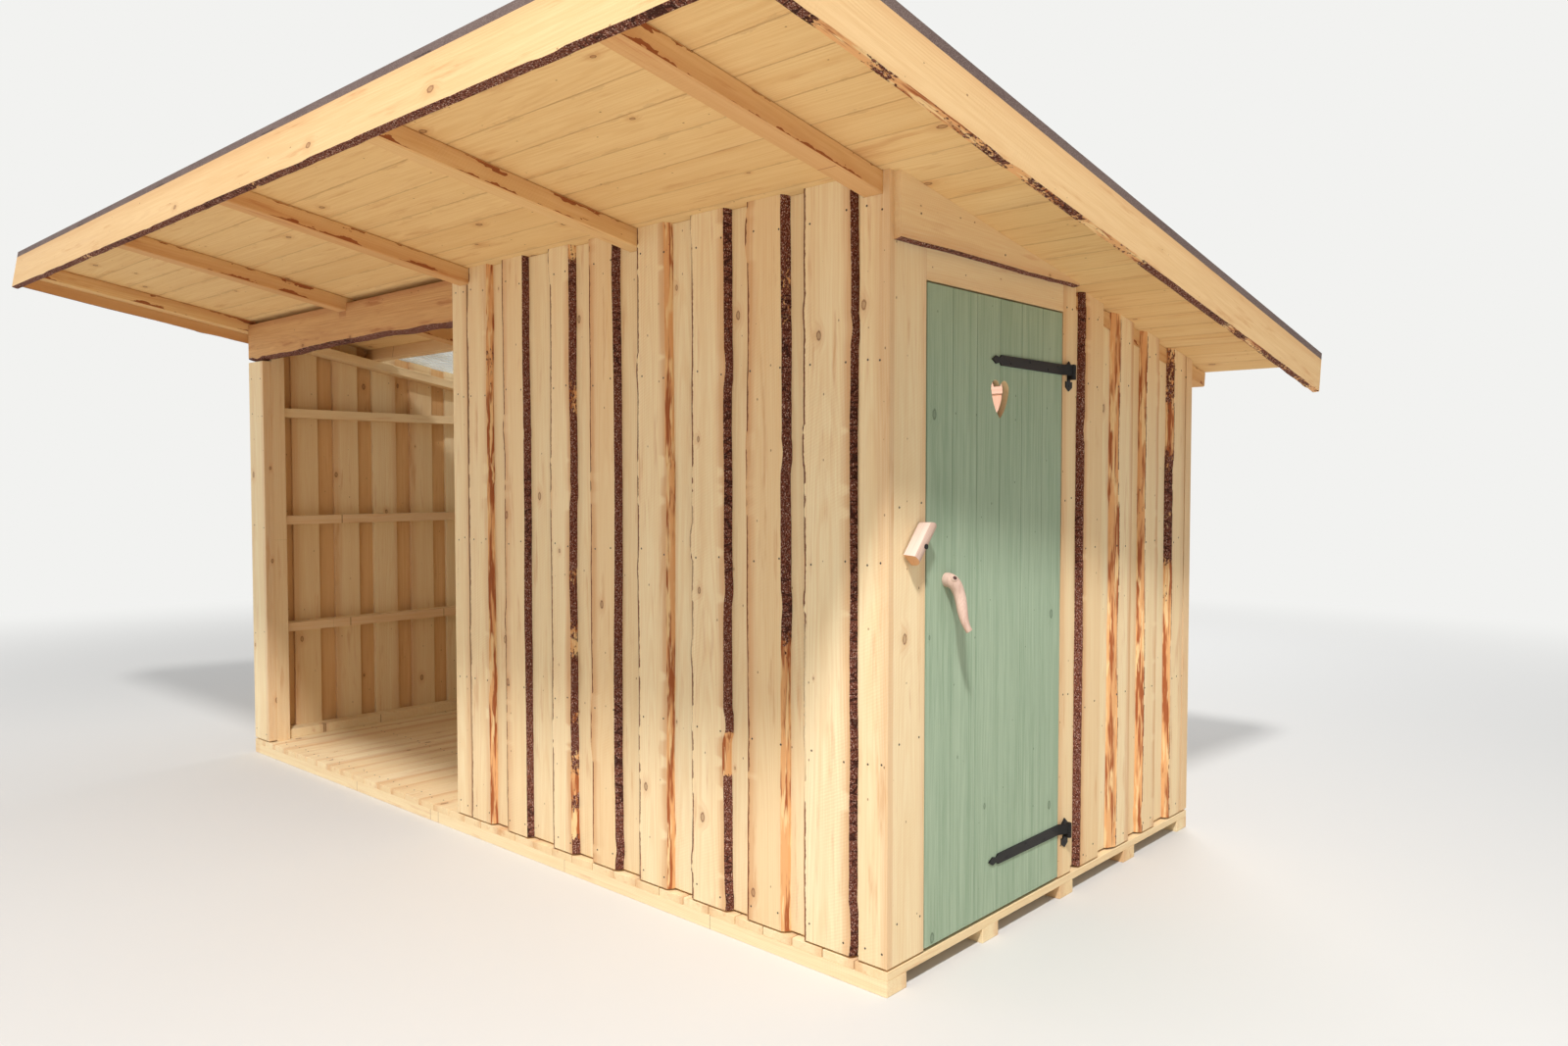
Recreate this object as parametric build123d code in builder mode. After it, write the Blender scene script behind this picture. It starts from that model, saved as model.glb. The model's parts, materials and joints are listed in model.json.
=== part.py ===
"""Trapper cabin of fresh sawn boards: a closed room and an open bay under one single-pitch roof.

Millimetres. X runs along the front wall, Y from the front to the back, Z up. The origin is the middle of
the floor plan on the underside of the floor joists. The door and its axis are on the +X wall.
"""
from build123d import *
import os
from math import cos, radians, sin, tan

os.makedirs("parts", exist_ok=True)

# Plan and floor
room_length = 2320
bay_length = 2100
depth = 2180
joist_height = 48
joist_width = 98
joist_count = 5
floor_thickness = 28
floor_pitch = 125
floor_gap = 5

# Frame of sawn timber
frame_width = 95
frame_thickness = 48
bay_post_width = 132
bay_post_depth = 70
rail_count = 3
top_rail_below_head = 244

# Upright cladding: spaced boards behind, waney boards in front
under_thickness = 22
over_thickness = 25
over_width = 158
over_gap = 90
board_lap = 30
board_end_gap = 8
corner_board_width = 107
rear_corner_width = 60
first_left_board = 194
front_board_starts = (0, 258, 574, 820, 1093, 1370, 1631, 1879)
front_board_widths = (168, 165, 149, 168, 180, 186, 186, 208)
front_board_run = 2106
door_wall_starts = (55, 318, 578, 843)
door_wall_widths = (165, 162, 160, 146)
door_wall_run = 1000
beam_depth = 206
beam_drop = 31
beam_wave = 14
fit = 0.5

# Roof: the soffit stands above the doorway's head at the front wall's outer face
soffit_above_door = 291
roof_slope = 9.6
front_overhang = 1056
rear_overhang = 215
right_overhang = 460
left_overhang = 97
rafter_width = 72
rafter_depth = 66
rafter_past_partition = 127
bay_rafter_place = 1143
edge_board_thickness = 25
fascia_depth = 154
verge_depth = 141
roof_board_thickness = 22
roof_board_pitch = 142
roof_joint = 3
felt_thickness = 5
edge_strip_height = 22
edge_strip_width = 30

# Clear sheet over the rear of the bay
sheet_start = 690
sheet_pitch = 76
sheet_wave = 18
sheet_thickness = 1.5
sheet_board_gap = 8
sheet_end_gap = 4
batten_width = 48

# Doorway and door
door_start = 184
door_width = 843
door_height = 2044
right_casing_width = 93
frieze_above_door = 92
frieze_start = 20
frieze_end = 1100
door_gap = 6
door_bottom_gap = 12
leaf_thickness = 25
leaf_boards = 6
leaf_board_gap = 1.5
ledge_width = 110
ledge_thickness = 22
ledge_inset = 60
ledge_round = 4
middle_ledge_share = 0.49
lining_thickness = 20
lining_clearance = 5
lining_reveal = 10
lining_head_clearance = 4
heart_width = 106
heart_height = 124
heart_below_head = 334
heart_notch = (0, 0.32)
heart_lobe = (0.30, 0.50)
heart_shoulder = (0.50, 0.20)
heart_flank = (0.36, -0.14)
heart_tip = (0, -0.50)

# Door hardware
strap_length = 516
strap_width = 37
strap_end_width = 34
strap_thickness = 5
low_strap_height = 185
high_strap_below_head = 206
strap_point = ((56, 17), (46, 8), (24, 13.5))
strap_rise_length = 48
pin_radius = 6
pin_clearance = 0.1
pin_offset = 39
pin_standoff = 20
pin_end = 2
eye_radius = 10.5
lug_height = 14
lug_width = 14
lug_gap = 1
pintle_plate_width = 46
pintle_neck_width = 18
pintle_plate_thickness = 4
pintle_point_rise = 33
pintle_top_shoulder = 14
pintle_neck_drop = 40
pintle_low_shoulder = 60
pintle_point_drop = 74
handle_height = 1138
handle_start = 295
handle_path = ((0, 0, 0), (22, 2, -5), (38, 14, -38), (52, 8, -72), (68, -4, -110), (88, -2, -152))
handle_radii = (21.5, 21.5, 19, 17.5, 14.5, 10.5)
button_width = 52
button_thickness = 42
button_split_lean = 5
button_split_height = 38
button_round = (-10, 38)
button_rim = 8
button_long_arm = 84
button_short_arm = 52
button_angle = 50
button_start = 118
button_height = 1250
button_standoff = 6
screw_radius = 5
screw_washer_radius = 12
screw_head_radius = 8
screw_head_height = 3

# Levels and faces worked out from the sizes above
length = room_length + bay_length
x_left = -length / 2
x_right = length / 2
x_partition = x_right - room_length
y_front = -depth / 2
y_back = depth / 2
floor_top = joist_height + floor_thickness
soffit_height = door_height + soffit_above_door
strap_heights = (low_strap_height, door_height - high_strap_below_head)
cladding = under_thickness + over_thickness
slope = radians(roof_slope)
rise = tan(slope)
board_low = floor_top + board_end_gap
roof_origin = (0, y_front, floor_top + soffit_height)
roof = Plane(origin=roof_origin, x_dir=(1, 0, 0), z_dir=(0, sin(slope), cos(slope)))
above_roof = soffit_height + 400
eave = -front_overhang / cos(slope)
rear_edge = (depth + rear_overhang) / cos(slope)
roof_left = x_left - left_overhang
roof_right = x_right + right_overhang
frame_left = x_left + cladding
frame_right = x_right - cladding
frame_partition = x_partition + cladding
frame_front = y_front + cladding
frame_back = y_back - cladding


def soffit(y):
    """Height of the roof's underside above the ground at y."""
    return floor_top + soffit_height - (y - y_front) * rise


def rafter_underside(y):
    """Height of the rafters' underside above the ground at y."""
    return soffit(y) - rafter_depth / cos(slope)


def upright_boxes(footprints, lows, amount):
    """Upright boxes on the plan, at one or more levels: a footprint is x low, x high, y low, y high."""
    with BuildPart() as boxes:
        for low in lows:
            with BuildSketch(Plane.XY.offset(low)):
                for x1, x2, y1, y2 in footprints:
                    with Locations(((x1 + x2) / 2, (y1 + y2) / 2)):
                        Rectangle(x2 - x1, y2 - y1)
            extrude(amount=amount)
    return boxes


def board_row(start, end):
    """Evenly spaced front boards from start to end, as pairs of edges."""
    count = round((end - start + over_gap) / (over_width + over_gap))
    pitch = (end - start + over_gap) / count
    return [(start + i * pitch, start + (i + 1) * pitch - over_gap) for i in range(count)]


def boards_behind(row):
    """Boards behind the gaps of a row of front boards, lapped by both neighbours."""
    return [(a[1] - board_lap, b[0] + board_lap) for a, b in zip(row, row[1:])]


# Rafters: five square-sawn timbers down the slope, the left one outside the end wall
room_rafter_spacing = (room_length - over_thickness - rafter_past_partition) / 2
rafter_right_faces = [x_right - over_thickness - i * room_rafter_spacing for i in range(3)]
rafter_right_faces.append(x_left + bay_rafter_place)
rafter_centres = [x - rafter_width / 2 for x in rafter_right_faces] + [x_left - rafter_width / 2]
rafter_start = eave + edge_board_thickness
rafter_length = rear_edge - rafter_start
rafter_middle = rafter_start + rafter_length / 2
with BuildPart() as rafters:
    with BuildSketch(roof.offset(-rafter_depth)):
        with Locations(*[(x, rafter_middle) for x in rafter_centres]):
            Rectangle(rafter_width, rafter_length)
    extrude(amount=rafter_depth)
rafters.part.label = "rafters"
export_step(rafters.part, "parts/rafters.step")

# Room that every board leaves round the rafters
with BuildPart() as rafter_space:
    with BuildSketch(roof.offset(-rafter_depth - fit)):
        with Locations(*[(x, rafter_middle) for x in rafter_centres]):
            Rectangle(rafter_width + 2 * fit, rafter_length)
    extrude(amount=rafter_depth * 3)


def standing_boards(footprints, low=board_low):
    """Boards on end, cut off under the roof and notched round the rafters."""
    with BuildPart() as boards:
        add(upright_boxes(footprints, [low], above_roof).part)
        split(bisect_by=roof.offset(-fit), keep=Keep.BOTTOM)
        add(rafter_space.part, mode=Mode.SUBTRACT)
    return boards


# Floor joists, laid flat along the front, with the outer two flush with the walls
joist_spacing = (depth - joist_width) / (joist_count - 1)
with BuildPart() as floor_joists:
    with BuildSketch():
        with GridLocations(1, joist_spacing, 1, joist_count):
            Rectangle(length, joist_width)
    extrude(amount=joist_height)
floor_joists.part.label = "floor_joists"
export_step(floor_joists.part, "parts/floor_joists.step")

# Floor boards, from front to back with a gap between them
floor_count = round((length + floor_gap) / floor_pitch)
floor_step = (length + floor_gap) / floor_count
with BuildPart() as floor_boards:
    with BuildSketch(Plane.XY.offset(joist_height)):
        with GridLocations(floor_step, 1, floor_count, 1):
            Rectangle(floor_step - floor_gap, depth)
    extrude(amount=floor_thickness)
floor_boards.part.label = "floor_boards"
export_step(floor_boards.part, "parts/floor_boards.step")

# Wall plates along the front and the back, bevelled on top to carry the rafters
plate_levels = {}
with BuildPart() as wall_plates:
    for y_near in (frame_front, frame_back - frame_width):
        y_far = y_near + frame_width
        plate_low = rafter_underside(y_far) - frame_thickness
        plate_levels[y_near] = plate_low
        with BuildSketch(Plane.YZ.offset(frame_left)):
            with BuildLine():
                Polyline(
                    (y_near, plate_low),
                    (y_far, plate_low),
                    (y_far, rafter_underside(y_far) - fit),
                    (y_near, rafter_underside(y_near) - fit),
                    close=True,
                )
            make_face()
        extrude(amount=frame_right - frame_left)
wall_plates.part.label = "wall_plates"
export_step(wall_plates.part, "parts/wall_plates.step")
front_plate_low = plate_levels[frame_front]
rear_plate_low = plate_levels[frame_back - frame_width]

# Sloping top rails of the two end walls and the partition, between the plates
inner_front = frame_front + frame_width
inner_back = frame_back - frame_width
end_rail_faces = (frame_left, frame_partition, frame_right - frame_width)
with BuildPart() as end_top_rails:
    for x_face in end_rail_faces:
        with BuildSketch(Plane.YZ.offset(x_face)):
            with BuildLine():
                Polyline(
                    (inner_front, rafter_underside(inner_front) - fit),
                    (inner_back, rafter_underside(inner_back) - fit),
                    (inner_back, rafter_underside(inner_back) - frame_thickness),
                    (inner_front, rafter_underside(inner_front) - frame_thickness),
                    close=True,
                )
            make_face()
        extrude(amount=frame_width)
end_top_rails.part.label = "end_top_rails"
export_step(end_top_rails.part, "parts/end_top_rails.step")

# Posts: the front ones reach the front plate, the rear ones the rear plate, the door's one its sloping rail
door_left = y_front + door_start
door_right = door_left + door_width
lining_lap = door_gap + lining_reveal
post_door_left = door_left + lining_lap - lining_thickness
post_door_right = door_right - lining_lap + lining_thickness
post_back = post_door_right + frame_thickness
front_post_plans = [
    (frame_left, frame_left + bay_post_width, frame_front, frame_front + bay_post_depth),
    (frame_partition, frame_partition + frame_width, frame_front, inner_front),
    (frame_right - frame_width, frame_right, frame_front, post_door_left),
]
door_post_plan = [(frame_right - frame_width, frame_right, post_door_right, post_back)]
rear_post_plans = [(x, x + frame_width, inner_back, frame_back) for x in end_rail_faces]
with BuildPart() as posts:
    add(upright_boxes(front_post_plans, [floor_top], front_plate_low - floor_top).part)
    add(upright_boxes(door_post_plan, [floor_top], above_roof).part)
    split(bisect_by=roof.offset(-rafter_depth - frame_thickness * cos(slope) - fit), keep=Keep.BOTTOM)
    add(upright_boxes(rear_post_plans, [floor_top], rear_plate_low - floor_top).part)
posts.part.label = "posts"
export_step(posts.part, "parts/posts.step")

# Stretches of frame between posts: x low, x high, y low, y high
left_bay = (frame_left, frame_left + frame_width, frame_front + bay_post_depth, inner_back)
partition_bay = (frame_partition, frame_partition + frame_width, inner_front, inner_back)
door_wall_bay = (frame_right - frame_width, frame_right, post_back, inner_back)
front_bay = (frame_partition + frame_width, frame_right - frame_width, frame_front, inner_front)
rear_left_bay = (frame_left + frame_width, x_partition, inner_back, frame_back)
rear_right_bay = (frame_partition + frame_width, frame_right - frame_width, inner_back, frame_back)

all_bays = [left_bay, partition_bay, door_wall_bay, front_bay, rear_left_bay, rear_right_bay]
sole_plates = upright_boxes(all_bays, [floor_top], frame_thickness)
sole_plates.part.label = "sole_plates"
export_step(sole_plates.part, "parts/sole_plates.step")

# Level rails between the posts, on which the boards are nailed
top_rail_height = door_height - top_rail_below_head
rail_levels = [floor_top + top_rail_height * (i + 1) / rail_count for i in range(rail_count)]
left_wall_rails = upright_boxes([left_bay], rail_levels, frame_thickness)
left_wall_rails.part.label = "left_wall_rails"
export_step(left_wall_rails.part, "parts/left_wall_rails.step")

partition_rails = upright_boxes([partition_bay], rail_levels, frame_thickness)
partition_rails.part.label = "partition_rails"
export_step(partition_rails.part, "parts/partition_rails.step")

door_wall_rails = upright_boxes([door_wall_bay], rail_levels, frame_thickness)
door_wall_rails.part.label = "door_wall_rails"
export_step(door_wall_rails.part, "parts/door_wall_rails.step")

front_wall_rails = upright_boxes([front_bay], rail_levels, frame_thickness)
front_wall_rails.part.label = "front_wall_rails"
export_step(front_wall_rails.part, "parts/front_wall_rails.step")

rear_wall_rails = upright_boxes([rear_left_bay, rear_right_bay], rail_levels[:2], frame_thickness)
rear_wall_rails.part.label = "rear_wall_rails"
export_step(rear_wall_rails.part, "parts/rear_wall_rails.step")

# Front wall: eight waney boards of uneven width and spacing between two corner boards
front_run_start = x_partition + corner_board_width
front_stretch = (room_length - 2 * corner_board_width) / front_board_run
front_row = [
    (front_run_start + a * front_stretch, front_run_start + (a + w) * front_stretch)
    for a, w in zip(front_board_starts, front_board_widths)
]
left_corner = (x_partition, x_partition + corner_board_width - fit)
right_corner = (x_right - corner_board_width, x_right)
over_front = (y_front, y_front + over_thickness)
under_front = (y_front + over_thickness, frame_front)
front_over_boards = standing_boards([(*edges, *over_front) for edges in front_row])
front_over_boards.part.label = "front_over_boards"
export_step(front_over_boards.part, "parts/front_over_boards.step")

front_gaps = boards_behind(front_row + [right_corner])
front_gaps[-1] = (front_gaps[-1][0], frame_right + under_thickness)
first_gap = (x_partition + over_thickness, left_corner[1] + board_lap)
front_under_boards = standing_boards([(*edges, *under_front) for edges in [first_gap] + front_gaps])
front_under_boards.part.label = "front_under_boards"
export_step(front_under_boards.part, "parts/front_under_boards.step")

# Waney beam plank over the mouth of the bay, notched round the middle rafter
beam_high = soffit_height - beam_drop
beam_low = beam_high - beam_depth
beam_span = x_partition - fit - x_left
facing_right = frame_left + bay_post_width
with BuildPart() as bay_beam:
    with BuildSketch(Plane.XZ.offset(-y_front)):
        with BuildLine():
            Line((x_left, floor_top + beam_low), (x_left, floor_top + beam_high))
            Line((x_left, floor_top + beam_high), (x_left + beam_span, floor_top + beam_high))
            Line((x_left + beam_span, floor_top + beam_high), (x_left + beam_span, floor_top + beam_low))
            Spline(
                (x_left + beam_span, floor_top + beam_low),
                (x_left + beam_span * 0.62, floor_top + beam_low + beam_wave),
                (x_left + beam_span * 0.35, floor_top + beam_low + beam_wave / 2),
                (facing_right, floor_top + beam_low),
                tangents=[(-1, 0), (-1, 0)],
            )
            Line((facing_right, floor_top + beam_low), (x_left, floor_top + beam_low))
        make_face()
    extrude(amount=-cladding)
    add(rafter_space.part, mode=Mode.SUBTRACT)
bay_beam.part.label = "bay_beam"
export_step(bay_beam.part, "parts/bay_beam.step")

# Corner boards: two on the front, one facing the bay's post under the beam, a narrow one behind the door wall
beam_seat = beam_low - board_end_gap - fit
rear_corner = (y_back - rear_corner_width, y_back)
over_right = (x_right - over_thickness, x_right)
under_right = (frame_right, x_right - over_thickness)
with BuildPart() as corner_boards:
    add(standing_boards([(*left_corner, *over_front), (*right_corner, *over_front)]).part)
    add(upright_boxes([(x_left, facing_right, *over_front)], [board_low], beam_seat).part)
    add(standing_boards([(*over_right, *rear_corner)]).part)
corner_boards.part.label = "corner_boards"
export_step(corner_boards.part, "parts/corner_boards.step")

# Packing between the corner boards and the posts behind them
with BuildPart() as corner_packing:
    add(upright_boxes([(x_left, facing_right, *under_front)], [board_low], beam_seat).part)
    add(standing_boards([(*under_right, frame_front, post_door_left - fit)]).part)
corner_packing.part.label = "corner_packing"
export_step(corner_packing.part, "parts/corner_packing.step")

# Left end wall: its first board also covers the post
left_first = (frame_front, frame_front + first_left_board)
left_row = [left_first] + board_row(left_first[1] + over_gap, y_back)
left_over_boards = standing_boards([(x_left, x_left + over_thickness, *edges) for edges in left_row])
left_over_boards.part.label = "left_over_boards"
export_step(left_over_boards.part, "parts/left_over_boards.step")

under_left = (x_left + over_thickness, frame_left)
left_under_boards = standing_boards([(*under_left, *edges) for edges in boards_behind(left_row)])
left_under_boards.part.label = "left_under_boards"
export_step(left_under_boards.part, "parts/left_under_boards.step")

# Rear wall, one row behind the bay and the room
rear_row = board_row(x_left + over_thickness, x_right - over_thickness)
over_rear = (y_back - over_thickness, y_back)
under_rear = (frame_back, y_back - over_thickness)
rear_over_boards = standing_boards([(*edges, *over_rear) for edges in rear_row])
rear_over_boards.part.label = "rear_over_boards"
export_step(rear_over_boards.part, "parts/rear_over_boards.step")

rear_under_boards = standing_boards([(*edges, *under_rear) for edges in boards_behind(rear_row)])
rear_under_boards.part.label = "rear_under_boards"
export_step(rear_under_boards.part, "parts/rear_under_boards.step")

# Partition between the bay and the room, boarded on the bay's side and notched round the plates
with BuildPart() as plate_space:
    add(wall_plates.part)
    offset(amount=fit, kind=Kind.INTERSECTION)
partition_row = board_row(y_front + over_thickness, frame_back)
partition_over = [(x_partition, x_partition + over_thickness, *edges) for edges in partition_row]
with BuildPart() as partition_over_boards:
    add(standing_boards(partition_over).part)
    add(plate_space.part, mode=Mode.SUBTRACT)
partition_over_boards.part.label = "partition_over_boards"
export_step(partition_over_boards.part, "parts/partition_over_boards.step")

partition_gaps = boards_behind(partition_row)
partition_under = [(x_partition + over_thickness, frame_partition, *edges) for edges in partition_gaps]
with BuildPart() as partition_under_boards:
    add(standing_boards(partition_under).part)
    add(plate_space.part, mode=Mode.SUBTRACT)
partition_under_boards.part.label = "partition_under_boards"
export_step(partition_under_boards.part, "parts/partition_under_boards.step")

# Door wall beside the doorway: casings and four waney boards
casing_end = door_right + right_casing_width
left_casing = (y_front + over_thickness, door_left)
right_casing = (door_right, casing_end)
door_wall_stretch = (rear_corner[0] - casing_end) / door_wall_run
door_wall_row = [
    (casing_end + a * door_wall_stretch, casing_end + (a + w) * door_wall_stretch)
    for a, w in zip(door_wall_starts, door_wall_widths)
]
door_casings = standing_boards([(*over_right, *left_casing), (*over_right, *right_casing)])
door_casings.part.label = "door_casings"
export_step(door_casings.part, "parts/door_casings.step")

door_wall_over_boards = standing_boards([(*over_right, *edges) for edges in door_wall_row])
door_wall_over_boards.part.label = "door_wall_over_boards"
export_step(door_wall_over_boards.part, "parts/door_wall_over_boards.step")

door_wall_gaps = boards_behind([right_casing] + door_wall_row + [rear_corner])
door_wall_gaps[-1] = (door_wall_gaps[-1][0], frame_back)
door_wall_under_boards = standing_boards([(*under_right, *edges) for edges in door_wall_gaps])
door_wall_under_boards.part.label = "door_wall_under_boards"
export_step(door_wall_under_boards.part, "parts/door_wall_under_boards.step")

# Over the doorway: head casing, and the three-cornered frieze board nailed over it
door_head_casing = standing_boards(
    [(*over_right, door_left + fit, door_right - fit)], low=floor_top + door_height
)
door_head_casing.part.label = "door_head_casing"
export_step(door_head_casing.part, "parts/door_head_casing.step")

frieze_board = standing_boards(
    [(x_right, x_right + over_thickness, y_front + frieze_start, y_front + frieze_end)],
    low=floor_top + door_height + frieze_above_door,
)
frieze_board.part.label = "frieze_board"
export_step(frieze_board.part, "parts/frieze_board.step")

# Door lining: two jambs and a head, whose front edge the closed leaf rests near
lining_front = x_right - leaf_thickness - lining_clearance
lining_back = frame_right - frame_width
lining_depth = lining_front - lining_back
lining_top = door_height - lining_head_clearance
lining_width = post_door_right - post_door_left - 2 * fit
lining_middle = (post_door_left + post_door_right) / 2
clear_width = lining_width - 2 * lining_thickness
clear_height = lining_top - lining_thickness
with BuildPart() as door_lining:
    with BuildSketch(Plane.YZ.offset(lining_back)):
        with Locations((lining_middle, floor_top + lining_top / 2)):
            Rectangle(lining_width, lining_top)
        with Locations((lining_middle, floor_top + clear_height / 2)):
            Rectangle(clear_width, clear_height, mode=Mode.SUBTRACT)
    extrude(amount=lining_depth)
door_lining.part.label = "door_lining"
export_step(door_lining.part, "parts/door_lining.step")

# Door leaf: upright boards with a heart cut through at head height
leaf_left = door_left + door_gap
leaf_right = door_right - door_gap
leaf_low = floor_top + door_bottom_gap
leaf_high = floor_top + door_height - door_gap
leaf_middle = (leaf_left + leaf_right) / 2
heart_z = floor_top + door_height - heart_below_head
leaf_step = (leaf_right - leaf_left + leaf_board_gap) / leaf_boards
with BuildPart() as door_leaf:
    with BuildSketch(Plane.YZ.offset(x_right - leaf_thickness)):
        with Locations((leaf_middle, (leaf_low + leaf_high) / 2)):
            with GridLocations(leaf_step, 1, leaf_boards, 1):
                Rectangle(leaf_step - leaf_board_gap, leaf_high - leaf_low)
    extrude(amount=leaf_thickness)
    with BuildSketch(Plane.YZ.offset(x_right)):
        with BuildLine():
            for side in (-1, 1):
                notch, lobe, shoulder, flank, tip = [
                    (leaf_middle + side * across * heart_width, heart_z + up * heart_height)
                    for across, up in (heart_notch, heart_lobe, heart_shoulder, heart_flank, heart_tip)
                ]
                ThreePointArc(notch, lobe, shoulder)
                ThreePointArc(shoulder, flank, tip)
        make_face()
    extrude(amount=-leaf_thickness, mode=Mode.SUBTRACT)
door_leaf.part.label = "door_leaf"
export_step(door_leaf.part, "parts/door_leaf.step")

# Ledges: three battens that hold the leaf's boards together on the inside
ledge_heights = (strap_heights[0], door_height * middle_ledge_share, strap_heights[1])
ledge_levels = [floor_top + height for height in ledge_heights]
ledge_back = x_right - leaf_thickness - ledge_thickness
with BuildPart() as door_ledges:
    with BuildSketch(Plane.YZ.offset(ledge_back)):
        with Locations(*[(leaf_middle, z) for z in ledge_levels]):
            Rectangle(leaf_right - leaf_left - 2 * ledge_inset, ledge_width)
    extrude(amount=ledge_thickness)
    fillet(door_ledges.edges().filter_by(Axis.Y).group_by(Axis.X)[0], radius=ledge_round)
door_ledges.part.label = "door_ledges"
export_step(door_ledges.part, "parts/door_ledges.step")

# Strap hinges: a long tapered strap that ends in a spear head, and rises off the leaf to an eye round the pin
pin_x = x_right + pin_standoff
pin_y = door_right + pin_offset
strap_tip = pin_y - strap_length
rise_start = pin_y - strap_rise_length
rise_end = pin_y - (pin_radius + eye_radius) / 2
half_strap = strap_thickness / 2
with BuildPart() as hinge_straps:
    for height in strap_heights:
        level = floor_top + height
        with BuildSketch(Plane.YZ.offset(x_right)):
            with BuildLine():
                Polyline(
                    (rise_start, level - strap_width / 2),
                    (rise_start, level + strap_width / 2),
                    (strap_tip + strap_point[0][0], level + strap_end_width / 2),
                    *[(strap_tip + back, level + half) for back, half in strap_point[1:]],
                    (strap_tip, level),
                    *[(strap_tip + back, level - half) for back, half in reversed(strap_point[1:])],
                    (strap_tip + strap_point[0][0], level - strap_end_width / 2),
                    close=True,
                )
            make_face()
        extrude(amount=strap_thickness)
        with BuildSketch(Plane.XY.offset(level - strap_width / 2)):
            with BuildLine():
                Polyline(
                    (x_right, rise_start),
                    (x_right + strap_thickness, rise_start),
                    (pin_x + half_strap, rise_end),
                    (pin_x - half_strap, rise_end),
                    close=True,
                )
            make_face()
            with Locations((pin_x, pin_y)):
                Circle(eye_radius)
                Circle(pin_radius + pin_clearance, mode=Mode.SUBTRACT)
        extrude(amount=strap_width)
hinge_straps.part.label = "hinge_straps"
export_step(hinge_straps.part, "parts/hinge_straps.step")

# Pintles: a pin on a lug, in front of a plate with a pointed head and a spear-shaped tail
half_plate = pintle_plate_width / 2
half_neck = pintle_neck_width / 2
with BuildPart() as hinge_pintles:
    for height in strap_heights:
        level = floor_top + height
        lug_top = level - strap_width / 2 - lug_gap
        with BuildSketch(Plane.YZ.offset(x_right + fit)):
            with BuildLine():
                Polyline(
                    (pin_y, level + pintle_point_rise),
                    (pin_y + half_plate, level + pintle_top_shoulder),
                    (pin_y + half_neck, level - strap_width / 2),
                    (pin_y + half_neck, level - pintle_neck_drop),
                    (pin_y + half_plate, level - pintle_neck_drop),
                    (pin_y + half_plate, level - pintle_low_shoulder),
                    (pin_y, level - pintle_point_drop),
                    (pin_y - half_plate, level - pintle_low_shoulder),
                    (pin_y - half_plate, level - pintle_neck_drop),
                    (pin_y - half_neck, level - pintle_neck_drop),
                    (pin_y - half_neck, level - strap_width / 2),
                    (pin_y - half_plate, level + pintle_top_shoulder),
                    close=True,
                )
            make_face()
        extrude(amount=pintle_plate_thickness)
        with BuildSketch(Plane.XY.offset(lug_top - lug_height)):
            with Locations((pin_x, pin_y)):
                Circle(eye_radius)
            with Locations((x_right + fit + (pin_standoff - fit) / 2, pin_y)):
                Rectangle(pin_standoff - fit, lug_width)
        extrude(amount=lug_height)
        with BuildSketch(Plane.XY.offset(lug_top)):
            with Locations((pin_x, pin_y)):
                Circle(pin_radius)
        extrude(amount=strap_width + lug_gap + pin_end)
hinge_pintles.part.label = "hinge_pintles"
export_step(hinge_pintles.part, "parts/hinge_pintles.step")

# Handle: a crooked branch, thick where it is screwed to the leaf, and thinner down the grip that leans out
stub_y = y_front + handle_start
stub_z = floor_top + handle_height
with BuildPart() as door_handle:
    grip_points = [(x_right + x, stub_y + y, stub_z + z) for x, y, z in handle_path]
    with BuildLine():
        grip = Spline(*grip_points)
    for point, radius in zip(grip_points, handle_radii):
        share = grip.param_at_point(point)
        with BuildSketch(Plane(origin=point, z_dir=grip % share)):
            Circle(radius)
    sweep(multisection=True)
    split(bisect_by=Plane.YZ.offset(x_right), keep=Keep.TOP)
door_handle.part.label = "door_handle"
export_step(door_handle.part, "parts/door_handle.step")

# Turn button: a short split branch on one screw, flat where it was split, with a rounded end towards the door
button_y = y_front + button_start
button_z = floor_top + button_height
button_along = (0, cos(radians(button_angle)), sin(radians(button_angle)))
button_across = (0, -sin(radians(button_angle)), cos(radians(button_angle)))
button_origin = (x_right + button_standoff, button_y, button_z)
button_plane = Plane(origin=button_origin, x_dir=button_along, z_dir=(1, 0, 0))
button_section = Plane(origin=button_origin, x_dir=button_across, z_dir=button_along)
half_button = button_width / 2
split_top = (half_button - button_split_lean, button_split_height)
with BuildPart() as turn_button:
    with BuildSketch(button_plane):
        with BuildLine():
            Line((-button_short_arm, -half_button), (button_long_arm - half_button, -half_button))
            ThreePointArc(
                (button_long_arm - half_button, -half_button),
                (button_long_arm, 0),
                (button_long_arm - half_button, half_button),
            )
            Line((button_long_arm - half_button, half_button), (-button_short_arm, half_button))
            Line((-button_short_arm, half_button), (-button_short_arm, -half_button))
        make_face()
        Circle(screw_radius + pin_clearance, mode=Mode.SUBTRACT)
    extrude(amount=button_thickness)
    with BuildSketch(button_section):
        with BuildLine():
            Polyline((-half_button, button_rim), (-half_button, 0), (half_button, 0), split_top)
            ThreePointArc(split_top, button_round, (-half_button, button_rim))
        make_face()
    extrude(amount=button_long_arm, both=True, mode=Mode.INTERSECT)
turn_button.part.label = "turn_button"
export_step(turn_button.part, "parts/turn_button.step")

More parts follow.
